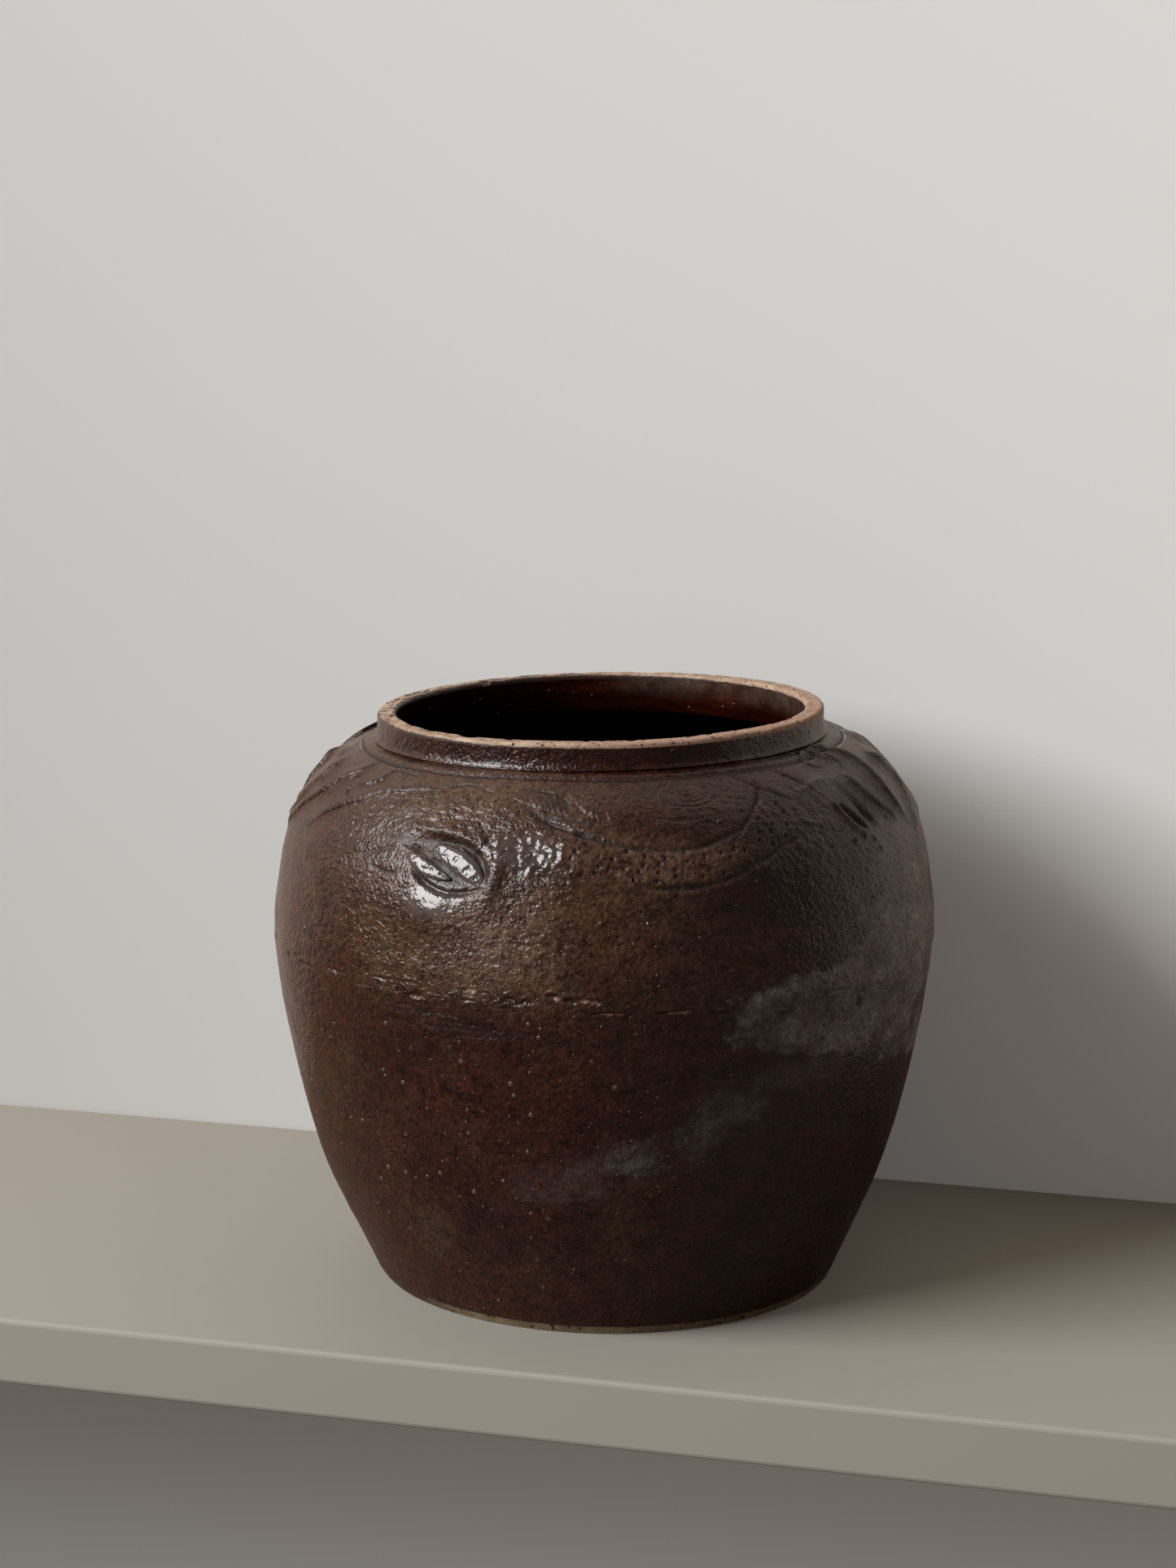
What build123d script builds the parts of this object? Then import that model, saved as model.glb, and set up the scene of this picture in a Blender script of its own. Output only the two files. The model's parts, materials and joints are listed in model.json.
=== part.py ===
from build123d import *
from math import cos, radians, sin
import os

# Martaban jar: a fired stoneware pot, built up from a base slab, two thrown wall sections luted
# together at the belly, a collar, a bare lip and clay sprigs laid on the shoulder.
# Millimetres, +Z up, origin at the middle of the foot, front towards -Y.
# An azimuth is in degrees from the front, positive towards +X.

# Body
JAR_HEIGHT = 232.5
FOOT_RADIUS = 98.2
BELLY_RADIUS = 135
BELLY_HEIGHT = 147
NECK_RADIUS = 90.6
NECK_HEIGHT = 222
MOUTH_RADIUS = 83.2
WALL = 7

# Points of the outline below the belly: share of the belly's height, and share of the way out
# from the foot to the belly.
LOWER_SHARES = ((0.136, 0.224), (0.306, 0.469), (0.510, 0.697), (0.780, 0.918))
# Points of the outline above the belly: share of the way up from the belly to the neck, and share
# of the way in from the belly to the neck.
UPPER_SHARES = ((0.240, 0.042), (0.413, 0.092), (0.547, 0.167), (0.667, 0.277), (0.867, 0.556))
# Points that carry a line drawn beside another one.
BESIDE_STEPS = 12
# Lean of the outline at the foot (out per up) and at the neck (up per in).
FOOT_LEAN_SHARE = 0.41
NECK_RISE_SHARE = 0.25

# Base slab
SLAB_THICKNESS = 9.5
BARE_FOOT_HEIGHT = 3.2
FOOT_RING_WIDTH = 13
HOLLOW_DEPTH = 1.5

# Seam between the two thrown sections, with its coil inside
SEAM_HEIGHT = 141
COIL_HEIGHT = 14
COIL_PROUD = 2.5

# Collar and lip
COLLAR_SEAT = 7
LIP_HEIGHT = 2.2
LIP_ROUNDING = 0.9

# Lines cut into the shoulder
LINE_WIDTH = 1.6
LINE_DEPTH = 0.7
THROWING_LINE_SHARE = 0.925
LOBE_AZIMUTH = 13
LOBE_SHARE = 0.575
SWAG_SPAN = 88
SWAG_DROP = 28
# Three points on each swag's arc, and the end of the upper one's tangent arc: share of the span
# from the middle, and share of the drop from the lobe.
SWAG_SHARES = ((-0.56, 0.59), (-0.24, -0.03), (0.06, -0.14))
SWAG_END_SHARES = (0.44, 0.85)
BORDER_SHARES = ((-0.61, -0.14), (-0.05, -0.66), (0.57, 0.11))
OVAL_LENGTH = 29
OVAL_WIDTH = 15.5
OVAL_COUNT = 3
OVAL_OFFSET = 8.5
OVAL_RISE = 19.7
DOT_RADIUS = 1.1
DOT_COUNT = 9
# Ends of the row of dots between the swags, as shares of the swag's span and drop.
DOT_ROW_SHARES = ((-0.38, -0.34), (0.40, 0.09))
DOT_SAG_SHARE = 0.4

# Sprigs
SPRIG_REACH = 24
LEAF_LENGTH = 37
LEAF_WIDTH = 17
TWIN_LEAF_LENGTH = 22
TWIN_LEAF_WIDTH = 9.5
TWIN_LEAF_PARTING = 15
TWIN_LEAF_TURN = 16
LEAF_EDGE_RELIEF = 1.1
LEAF_RELIEF = 2.2
LEAF_BORDER = 1.8
VEIN_WIDTH = 1.1
VEIN_COUNT = 3
VEIN_LEAN = 35
SCROLL_WIDTH = 4.2
SCROLL_RELIEF = 1.8
SCROLL_SPAN = 90
SCROLL_RISE = 34
# Points of each scroll's middle line: shares of the span and of the rise, from its own middle.
LEFT_UPPER_SCROLL_SHARES = ((-0.46, -0.37), (-0.24, 0.04), (0.15, 0.56), (0.38, 0.62))
LEFT_LOWER_SCROLL_SHARES = ((-0.52, -0.50), (0, -0.17), (0.32, 0.28), (0.46, 0.40))
RIGHT_UPPER_SCROLL_SHARES = ((-0.02, 0.44), (0.18, 0.42), (0.27, 0.20), (0.29, -0.14))
RIGHT_LOWER_SCROLL_SHARES = ((0.04, 0.04), (0.11, -0.14), (0.19, -0.36))
SCROLL_SHARE = 0.68
SCROLL_PLACES = {
    "left_upper": (-60, LEFT_UPPER_SCROLL_SHARES),
    "left_lower": (-60, LEFT_LOWER_SCROLL_SHARES),
    "right_upper": (58, RIGHT_UPPER_SCROLL_SHARES),
    "right_lower": (58, RIGHT_LOWER_SCROLL_SHARES),
}
# Azimuth of a leaf, its share of the way up the shoulder's outline, and its tilt.
LEFT_LEAF_PLACE = (-28, 0.42, -14)
RIGHT_LEAF_PLACE = (54.5, 0.62, -62)
LEFT_TWIN_PLACE = (-9, 0.72, -22)
RIGHT_TWIN_PLACE = (36, 0.72, 22)

OVERRUN = 2
HALF_TURN = 180
HALF_SHARE = 0.5


def between(start, end, share):
    """The value that lies this share of the way from start to end."""
    return start + share * (end - start)


def save(piece, name):
    """Label a finished piece and write it under the same name."""
    piece.part.label = name
    export_step(piece.part, f"parts/{name}.step")
    return piece


def lower_points():
    """Points of the lower outline between the foot and the belly."""
    return [
        (between(FOOT_RADIUS, BELLY_RADIUS, out_share), BELLY_HEIGHT * up_share)
        for up_share, out_share in LOWER_SHARES
    ]


def upper_points():
    """Points of the upper outline between the belly and the neck."""
    return [
        (between(BELLY_RADIUS, NECK_RADIUS, in_share), between(BELLY_HEIGHT, NECK_HEIGHT, up_share))
        for up_share, in_share in UPPER_SHARES
    ]


def lower_outline():
    """Outside of the pot from the foot to the belly."""
    return Spline(
        (FOOT_RADIUS, 0),
        *lower_points(),
        (BELLY_RADIUS, BELLY_HEIGHT),
        tangents=[(FOOT_LEAN_SHARE, 1), (0, 1)],
    )


def upper_outline():
    """Outside of the pot from the belly to the neck."""
    return Spline(
        (BELLY_RADIUS, BELLY_HEIGHT),
        *upper_points(),
        (NECK_RADIUS, NECK_HEIGHT),
        tangents=[(0, 1), (-1, NECK_RISE_SHARE)],
    )


def beside(line, distance):
    """A line that runs along another at a distance, towards the pot's axis when positive."""
    points = []
    for step in range(BESIDE_STEPS + 1):
        along = line % (step / BESIDE_STEPS)
        points.append(line @ (step / BESIDE_STEPS) + Vector(-along.Y, along.X) * distance)
    return Spline(*points, tangents=[line % 0, line % 1])


def wall_section():
    """The whole thrown wall, cut along the pot's axis."""
    with BuildSketch() as section:
        with BuildLine():
            lower = lower_outline()
            upper = upper_outline()
            inner_lower = beside(lower, WALL)
            inner_upper = beside(upper, WALL)
            Line(lower @ 0, inner_lower @ 0)
            Line(upper @ 1, inner_upper @ 1)
        make_face()
    return section.sketch


def shoulder_layer(inward, outward):
    """A layer that follows the outside of the shoulder, from a depth under it to a height over it."""
    with BuildPart() as layer:
        with BuildSketch(Plane.XZ):
            for distance in (inward, -outward):
                if distance:
                    with BuildLine():
                        surface = upper_outline()
                        edge = beside(surface, distance)
                        Line(surface @ 0, edge @ 0)
                        Line(surface @ 1, edge @ 1)
                    make_face()
        revolve(axis=Axis.Z)
    return layer.part


def shoulder_profile():
    """The outside of the shoulder as a line of its own: radius across, height up."""
    with BuildLine(mode=Mode.PRIVATE) as profile:
        upper_outline()
    return profile.line


def shoulder_plane(azimuth, share):
    """The plane that touches the shoulder there, x level to the right and y up the wall."""
    spot = shoulder_profile() @ share
    rise = shoulder_profile() % share
    turn = radians(azimuth)
    return Plane(
        origin=(spot.X * sin(turn), -spot.X * cos(turn), spot.Y),
        x_dir=(cos(turn), sin(turn), 0),
        z_dir=(rise.Y * sin(turn), -rise.Y * cos(turn), -rise.X),
    )


def make_base_slab(wall):
    """The disc under the pot: its edge stands bare below the glaze, its middle fills the wall."""
    with BuildPart() as base_slab:
        with BuildSketch(Plane.XZ):
            with BuildLine():
                outside = lower_outline()
                Polyline(outside @ 1, (0, BELLY_HEIGHT), (0, 0), outside @ 0)
            make_face()
            Rectangle(BELLY_RADIUS, SLAB_THICKNESS, align=Align.MIN, mode=Mode.INTERSECT)
            add(wall_between(wall, BARE_FOOT_HEIGHT, SEAM_HEIGHT), mode=Mode.SUBTRACT)
            Rectangle(FOOT_RADIUS - FOOT_RING_WIDTH, HOLLOW_DEPTH, align=Align.MIN, mode=Mode.SUBTRACT)
        revolve(axis=Axis.Z)
    return save(base_slab, "base_slab")


def wall_between(wall, bottom, top):
    """The part of the wall's section between two heights."""
    with BuildSketch() as slice_of_wall:
        add(wall)
        with Locations((0, bottom)):
            Rectangle(BELLY_RADIUS + OVERRUN, top - bottom, align=Align.MIN, mode=Mode.INTERSECT)
    return slice_of_wall.sketch


def make_lower_wall(wall):
    """The thrown section from the slab's edge up to the seam."""
    with BuildPart() as lower_wall:
        with BuildSketch(Plane.XZ):
            add(wall_between(wall, BARE_FOOT_HEIGHT, SEAM_HEIGHT))
        revolve(axis=Axis.Z)
    return save(lower_wall, "lower_wall")


def make_seam_coil(wall):
    """The coil smeared over the inside of the seam."""
    with BuildPart() as seam_coil:
        with BuildSketch(Plane.XZ):
            with Locations((BELLY_RADIUS - WALL, SEAM_HEIGHT)):
                Ellipse(COIL_PROUD, COIL_HEIGHT / 2)
            add(wall, mode=Mode.SUBTRACT)
        revolve(axis=Axis.Z)
    return save(seam_coil, "seam_coil")


def swag_points(*shares):
    """Points of a swag on its plane."""
    return [(SWAG_SPAN * across, SWAG_DROP * up) for across, up in shares]


def cut_lines():
    """Swags, ovals and dots of one panel, drawn flat on the lobe between the two large leaves."""
    with BuildSketch(shoulder_plane(LOBE_AZIMUTH, LOBE_SHARE)) as lines:
        with Locations((OVAL_OFFSET, OVAL_RISE)):
            for ring in range(OVAL_COUNT, 0, -1):
                size = ring / OVAL_COUNT / 2
                Ellipse(OVAL_LENGTH * size, OVAL_WIDTH * size)
                Ellipse(OVAL_LENGTH * size - LINE_WIDTH, OVAL_WIDTH * size - LINE_WIDTH, mode=Mode.SUBTRACT)
        with BuildLine():
            swag = ThreePointArc(*swag_points(*SWAG_SHARES))
            TangentArc(swag @ 1, *swag_points(SWAG_END_SHARES), tangent=swag % 1)
        trace(line_width=LINE_WIDTH)
        with BuildLine():
            ThreePointArc(*swag_points(*BORDER_SHARES))
        trace(line_width=LINE_WIDTH)
        for step in range(DOT_COUNT):
            along = step / (DOT_COUNT - 1)
            across = between(DOT_ROW_SHARES[0][0], DOT_ROW_SHARES[1][0], along)
            level = between(DOT_ROW_SHARES[0][1], DOT_ROW_SHARES[1][1], along)
            sag = DOT_SAG_SHARE * along * (1 - along)
            with Locations(*swag_points((across, level - sag))):
                Circle(DOT_RADIUS)
    return lines.sketch


def raised(shape, layer):
    """A flat shape pushed through a layer that follows the shoulder."""
    with BuildPart() as relief:
        add(shape)
        extrude(amount=SPRIG_REACH, both=True)
        add(layer, mode=Mode.INTERSECT)
    return relief.part


def make_shoulder_wall(wall):
    """The thrown section above the seam, bored for the collar and cut with the lines of both panels."""
    front_lines = raised(cut_lines(), shoulder_layer(LINE_DEPTH, OVERRUN))
    with BuildPart() as shoulder_wall:
        with BuildSketch(Plane.XZ):
            add(wall_between(wall, SEAM_HEIGHT, JAR_HEIGHT))
            Rectangle(NECK_RADIUS, JAR_HEIGHT, align=Align.MIN, mode=Mode.SUBTRACT)
            with Locations(shoulder_profile() @ THROWING_LINE_SHARE):
                Circle(LINE_WIDTH / 2, mode=Mode.SUBTRACT)
        revolve(axis=Axis.Z)
        add(front_lines, mode=Mode.SUBTRACT)
        add(front_lines.rotate(Axis.Z, HALF_TURN), mode=Mode.SUBTRACT)
    return save(shoulder_wall, "shoulder_wall")


def make_neck_collar():
    """The upright ring that is set in the shoulder's opening."""
    bottom = NECK_HEIGHT - COLLAR_SEAT
    with BuildPart() as neck_collar:
        with BuildSketch(Plane.XY.offset(bottom)):
            Circle(NECK_RADIUS)
            Circle(MOUTH_RADIUS, mode=Mode.SUBTRACT)
        extrude(amount=JAR_HEIGHT - LIP_HEIGHT - bottom)
    return save(neck_collar, "neck_collar")


def make_rim_lip():
    """The bare lip that rounds off the collar."""
    with BuildPart() as rim_lip:
        with BuildSketch(Plane.XY.offset(JAR_HEIGHT - LIP_HEIGHT)):
            Circle(NECK_RADIUS)
            Circle(MOUTH_RADIUS, mode=Mode.SUBTRACT)
        extrude(amount=LIP_HEIGHT)
        fillet(rim_lip.edges().group_by(Axis.Z)[-1], LIP_ROUNDING)
    return save(rim_lip, "rim_lip")


def leaf_outline(length, width):
    """A pointed oval from tip to tip."""
    with BuildSketch() as outline:
        with BuildLine():
            ThreePointArc((-length / 2, 0), (0, width / 2), (length / 2, 0))
            ThreePointArc((-length / 2, 0), (0, -width / 2), (length / 2, 0))
        make_face()
    return outline.sketch


def leaf_blade(length, width):
    """The raised middle of a leaf, parted by its midrib and its slanting veins."""
    blade_length = length - 2 * LEAF_BORDER
    with BuildSketch() as blade:
        add(leaf_outline(blade_length, width - 2 * LEAF_BORDER))
        Rectangle(blade_length, VEIN_WIDTH, mode=Mode.SUBTRACT)
        for vein in range(1, VEIN_COUNT + 1):
            across = blade_length * (vein / (VEIN_COUNT + 1) - HALF_SHARE)
            for side, foot in ((1, Align.MIN), (-1, Align.MAX)):
                with Locations(Location((across, 0), -side * VEIN_LEAN)):
                    Rectangle(VEIN_WIDTH, width, align=(Align.CENTER, foot), mode=Mode.SUBTRACT)
    return blade.sketch


def make_leaf(name, azimuth, share, tilt, layers):
    """A large veined leaf laid on the shoulder."""
    edge_layer, blade_layer = layers
    place = shoulder_plane(azimuth, share)
    with BuildSketch(place) as outline:
        add(leaf_outline(LEAF_LENGTH, LEAF_WIDTH), rotation=tilt)
    with BuildSketch(place) as blade:
        add(leaf_blade(LEAF_LENGTH, LEAF_WIDTH), rotation=tilt)
    with BuildPart() as leaf:
        add(raised(outline.sketch, edge_layer))
        add(raised(blade.sketch, blade_layer))
    return save(leaf, name)


def make_twin_leaf(name, azimuth, share, tilt, layers):
    """Two small leaves in a row, tip over tip, under the neck."""
    edge_layer, blade_layer = layers
    place = shoulder_plane(azimuth, share)
    spots = [Location((side * TWIN_LEAF_PARTING / 2, 0), tilt - TWIN_LEAF_TURN * side) for side in (1, -1)]
    with BuildSketch(place) as outline:
        with Locations(spots):
            add(leaf_outline(TWIN_LEAF_LENGTH, TWIN_LEAF_WIDTH))
    with BuildSketch(place) as blade:
        with Locations(spots):
            add(leaf_outline(TWIN_LEAF_LENGTH - 2 * LEAF_BORDER, TWIN_LEAF_WIDTH - 2 * LEAF_BORDER))
    with BuildPart() as twin_leaf:
        add(raised(outline.sketch, edge_layer))
        add(raised(blade.sketch, blade_layer))
    return save(twin_leaf, name)


def make_scroll(name, azimuth, shares, layer):
    """A strip of clay that sweeps down from the neck."""
    with BuildSketch(shoulder_plane(azimuth, SCROLL_SHARE)) as strip:
        with BuildLine() as middle:
            Spline(*[(SCROLL_SPAN * across, SCROLL_RISE * up) for across, up in shares])
        trace(line_width=SCROLL_WIDTH)
        with Locations(middle.line @ 0, middle.line @ 1):
            Circle(SCROLL_WIDTH / 2)
    with BuildPart() as scroll:
        add(raised(strip.sketch, layer))
    return save(scroll, name)


def repeat_behind(front, name):
    """The same sprig on the panel at the back."""
    with BuildPart() as behind:
        add(front.part.rotate(Axis.Z, HALF_TURN))
    return save(behind, name)


def make_sprigs():
    """All the relief laid on the shoulder: the front panel, then the same behind."""
    edge_layer = shoulder_layer(0, LEAF_EDGE_RELIEF)
    blade_layer = shoulder_layer(0, LEAF_RELIEF)
    scroll_layer = shoulder_layer(0, SCROLL_RELIEF)
    layers = (edge_layer, blade_layer)
    sprigs = {
        "leaf_{}_left": make_leaf("leaf_front_left", *LEFT_LEAF_PLACE, layers),
        "leaf_{}_right": make_leaf("leaf_front_right", *RIGHT_LEAF_PLACE, layers),
        "twin_leaf_{}_left": make_twin_leaf("twin_leaf_front_left", *LEFT_TWIN_PLACE, layers),
        "twin_leaf_{}_right": make_twin_leaf("twin_leaf_front_right", *RIGHT_TWIN_PLACE, layers),
    }
    for name, (azimuth, shares) in SCROLL_PLACES.items():
        sprigs["scroll_{}_" + name] = make_scroll("scroll_front_" + name, azimuth, shares, scroll_layer)
    for name, front in sprigs.items():
        repeat_behind(front, name.format("back"))


def make_jar():
    """Every piece of the jar, from the foot up."""
    os.makedirs("parts", exist_ok=True)
    wall = wall_section()
    make_base_slab(wall)
    make_lower_wall(wall)
    make_seam_coil(wall)
    make_shoulder_wall(wall)
    make_neck_collar()
    make_rim_lip()
    make_sprigs()


make_jar()
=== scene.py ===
import bpy
import json
import math
import numpy as np
from functools import cached_property, reduce
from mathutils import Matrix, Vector


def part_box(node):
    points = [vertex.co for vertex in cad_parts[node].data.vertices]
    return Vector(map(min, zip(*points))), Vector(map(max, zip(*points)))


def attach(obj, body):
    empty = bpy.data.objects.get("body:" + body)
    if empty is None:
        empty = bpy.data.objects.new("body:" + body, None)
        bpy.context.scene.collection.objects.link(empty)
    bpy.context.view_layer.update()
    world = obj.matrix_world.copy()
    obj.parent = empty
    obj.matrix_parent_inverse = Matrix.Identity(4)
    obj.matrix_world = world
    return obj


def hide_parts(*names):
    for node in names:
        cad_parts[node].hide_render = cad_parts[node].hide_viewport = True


# The jar's looks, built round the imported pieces. Points, runs and sizes that the frame holds are in
# metres. The tables and what is passed to the relief and to the materials are in millimetres and
# degrees. An azimuth is counted from the front (-Y), positive towards +X. A spot on the wall is
# given as (azimuth, height).
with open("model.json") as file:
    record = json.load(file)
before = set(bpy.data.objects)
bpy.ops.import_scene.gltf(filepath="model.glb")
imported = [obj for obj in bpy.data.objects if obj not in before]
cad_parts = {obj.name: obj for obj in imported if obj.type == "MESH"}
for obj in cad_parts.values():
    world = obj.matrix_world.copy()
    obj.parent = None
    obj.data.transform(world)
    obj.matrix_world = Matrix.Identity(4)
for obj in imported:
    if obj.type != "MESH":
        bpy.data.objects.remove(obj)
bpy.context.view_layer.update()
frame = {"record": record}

MM = 0.001

# Sizes that the frame holds
SEAM_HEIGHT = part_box("lower_wall")[1].z
BARE_FOOT_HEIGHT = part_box("lower_wall")[0].z
BELLY_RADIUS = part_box("shoulder_wall")[1].x
NECK_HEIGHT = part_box("shoulder_wall")[1].z
NECK_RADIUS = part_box("neck_collar")[1].x
COLLAR_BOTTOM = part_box("neck_collar")[0].z
LIP_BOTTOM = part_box("rim_lip")[0].z
JAR_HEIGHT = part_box("rim_lip")[1].z
SLAB_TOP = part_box("base_slab")[1].z
COIL_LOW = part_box("seam_coil")[0].z
COIL_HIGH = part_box("seam_coil")[1].z
MOUTH_RADIUS = next(m for m in frame["record"]["mounts"] if m["name"] == "mouth")["dims"]["r_mm"] * MM

# The outline: shares of the height and of the way out below the belly, and in above it
LOWER_SHARES = ((0.136, 0.224), (0.306, 0.469), (0.510, 0.697), (0.780, 0.918))
UPPER_SHARES = ((0.240, 0.042), (0.413, 0.092), (0.547, 0.167), (0.667, 0.277), (0.867, 0.556))
FOOT_LEAN = (0.41, 1)
NECK_RISE = (-1, 0.25)
FOOT_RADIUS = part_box("base_slab")[1].x - FOOT_LEAN[0] * BARE_FOOT_HEIGHT
BELLY_HEIGHT = JAR_HEIGHT * 147 / 232.5
WALL = 7 * MM
COIL_PROUD = 2.5 * MM
FOOT_RING = 13 * MM

# How the pot is out of true: the mouth leans between two heights, the foot is an oval up to a third
RIM_TILT = math.radians(1.1)
RIM_SHIFT = -1.4 * MM
LEAN_FROM, LEAN_TO = 0.190, 0.226
FOOT_OVAL = 3.0 * MM
FOOT_SHRINK = -1.0 * MM
FOOT_OVAL_AZIMUTH = math.radians(20)
FOOT_OVAL_TOP = 0.055

# Points round the pot: the shoulder and the mouth, the lower wall, the seam coil, the slab
FINE_COLUMNS, COARSE_COLUMNS, COIL_COLUMNS, SLAB_COLUMNS = 1440, 720, 540, 360


def unit(vector):
    vector = np.array(vector, float)
    return vector / np.linalg.norm(vector)


def smooth_line(points, first=None, last=None, step=0.5 * MM):
    """Points at even steps along the smooth line through these, with its end directions if given."""
    points = np.array(points, float)
    spans = np.linalg.norm(np.diff(points, axis=0), axis=1)
    chords = np.diff(points, axis=0) / spans[:, None]
    count = len(points)
    matrix = np.zeros((count, count))
    right = np.zeros((count, points.shape[1]))
    matrix[0, 0] = matrix[-1, -1] = 1
    right[0] = chords[0] if first is None else unit(first)
    right[-1] = chords[-1] if last is None else unit(last)
    for i in range(1, count - 1):
        matrix[i, i - 1] = spans[i]
        matrix[i, i] = 2 * (spans[i - 1] + spans[i])
        matrix[i, i + 1] = spans[i - 1]
        right[i] = 3 * (spans[i] * chords[i - 1] + spans[i - 1] * chords[i])
    slopes = np.linalg.solve(matrix, right)
    dense = []
    for i, span in enumerate(spans):
        t = np.linspace(0, 1, 40, endpoint=False)[:, None]
        dense.append(
            (2 * t**3 - 3 * t**2 + 1) * points[i]
            + (t**3 - 2 * t**2 + t) * span * slopes[i]
            + (3 * t**2 - 2 * t**3) * points[i + 1]
            + (t**3 - t**2) * span * slopes[i + 1]
        )
    dense = np.vstack(dense + [points[-1:]])
    run = np.concatenate([[0], np.cumsum(np.linalg.norm(np.diff(dense, axis=0), axis=1))])
    even = np.linspace(0, run[-1], max(2, round(run[-1] / step) + 1))
    return np.stack([np.interp(even, run, dense[:, k]) for k in range(points.shape[1])], axis=1)


def between(start, end, share):
    return start + share * (end - start)


def smoothstep(low, high, value):
    t = np.clip((value - low) / (high - low), 0, 1)
    return t * t * (3 - 2 * t)


def bell(distance, width):
    """1 at no distance, falling away over a width in millimetres."""
    return np.exp(-((distance / (width * MM)) ** 2))


def squeezed(points, share):
    """Points with their heights times a share, so that noise on them is long or low."""
    return points * np.array([1, 1, share])


def azimuths_of(points):
    return np.arctan2(points[..., 0], -points[..., 1])


def around(azimuth, radius, height):
    """Points at these azimuths (in radians), radii and heights."""
    return np.stack(np.broadcast_arrays(radius * np.sin(azimuth), -radius * np.cos(azimuth), height), axis=-1)


def turned_back(angle):
    """An angle brought between minus and plus half a turn."""
    return (angle + math.pi) % (2 * math.pi) - math.pi


class Outline:
    """The outside of the pot, cut along its axis, measured by the run from the foot."""

    def __init__(self):
        lower = [(FOOT_RADIUS, 0)]
        lower += [(between(FOOT_RADIUS, BELLY_RADIUS, out), BELLY_HEIGHT * up) for up, out in LOWER_SHARES]
        upper = [(BELLY_RADIUS, BELLY_HEIGHT)]
        upper += [
            (between(BELLY_RADIUS, NECK_RADIUS, inward), between(BELLY_HEIGHT, NECK_HEIGHT, up))
            for up, inward in UPPER_SHARES
        ]
        upper.append((NECK_RADIUS, NECK_HEIGHT))
        below = smooth_line(lower + [upper[0]], FOOT_LEAN, (0, 1))
        above = smooth_line(upper, (0, 1), NECK_RISE)
        line = np.vstack([below, above[1:]])
        self.radius, self.height = line[:, 0], line[:, 1]
        self.run = np.concatenate([[0], np.cumsum(np.hypot(*np.diff(line, axis=0).T))])
        along = np.gradient(line, self.run, axis=0)
        along /= np.linalg.norm(along, axis=1)[:, None]
        self.out, self.up = along[:, 1], -along[:, 0]
        self.length = self.run[-1]

    def at(self, run):
        """Radius, height, and the outward direction's two shares at a run from the foot."""
        out, up = np.interp(run, self.run, self.out), np.interp(run, self.run, self.up)
        size = np.hypot(out, up)
        return np.interp(run, self.run, self.radius), np.interp(run, self.run, self.height), out / size, up / size

    def run_at(self, height):
        """The run from the foot at which the outside has this height."""
        return np.interp(height, self.height, self.run)

    def inner_run_at(self, height):
        """The run whose inner wall has this height."""
        return np.interp(height, self.height - WALL * self.up, self.run)

    def inner_run_at_radius(self, radius):
        """The run on the shoulder whose inner wall has this radius."""
        inner = self.radius - WALL * self.out
        top = self.height > BELLY_HEIGHT
        return np.interp(-radius, -inner[top], self.run[top])

    def inner_radius(self, height):
        """The radius of the inner wall at this height."""
        radius, _, out, _ = self.at(self.inner_run_at(height))
        return radius - WALL * out


outline = Outline()

# A turn that keeps noise off the axes
NOISE_TURN = np.array([[0.36, 0.48, -0.8], [-0.8, 0.6, 0.0], [0.48, 0.64, 0.6]])


def value_noise(points, size, seed):
    """Smooth noise between about -1 and 1 on points in space, for bumps of about this size."""
    points = points @ NOISE_TURN
    return 0.8 * (lattice_noise(points, size, seed) + lattice_noise(points @ NOISE_TURN, size, seed + 500))


def lattice_noise(points, size, seed):
    place = points / (size * MM) + 31.7 * (seed % 97 + 1)
    cell = np.floor(place).astype(np.int64)
    part = place - cell
    part = part * part * part * (part * (part * 6 - 15) + 10)
    total = np.zeros(len(points))
    for corner in range(8):
        step = np.array([corner & 1, corner >> 1 & 1, corner >> 2 & 1])
        at = cell + step
        mixed = (at[:, 0] * 73856093) ^ (at[:, 1] * 19349663) ^ (at[:, 2] * 83492791) ^ (seed * 2654435761)
        mixed = (mixed ^ (mixed >> 13)) * 1274126177
        value = ((mixed ^ (mixed >> 16)) & 65535) / 32767.5 - 1
        total += value * np.prod(np.where(step == 1, part, 1 - part), axis=1)
    return total


def on_wall(azimuth, run, rise=0, inner=False):
    """Points on the outside wall, or on the inner one, moved out by rise. Azimuths are in radians."""
    radius, height, out, up = outline.at(run)
    depth = rise - (WALL if inner else 0)
    return around(azimuth, radius + out * depth, height + up * depth)


def warped(points):
    """The pot as it came out of the kiln: an oval foot, and a mouth that leans to the left."""
    shape = points.shape
    points = points.reshape(-1, 3).copy()
    radius = np.hypot(points[:, 0], points[:, 1])
    foot = 1 - smoothstep(0, FOOT_OVAL_TOP, points[:, 2])
    oval = FOOT_SHRINK + FOOT_OVAL * np.cos(2 * (azimuths_of(points) - FOOT_OVAL_AZIMUTH))
    points[:, :2] *= (1 + foot * oval / FOOT_RADIUS * np.clip(radius / FOOT_RADIUS, 0, 1))[:, None]
    top = smoothstep(LEAN_FROM, LEAN_TO, points[:, 2])
    points[:, 2] += top * math.tan(RIM_TILT) * points[:, 0]
    points[:, 0] += top * RIM_SHIFT
    return points.reshape(shape)


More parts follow.
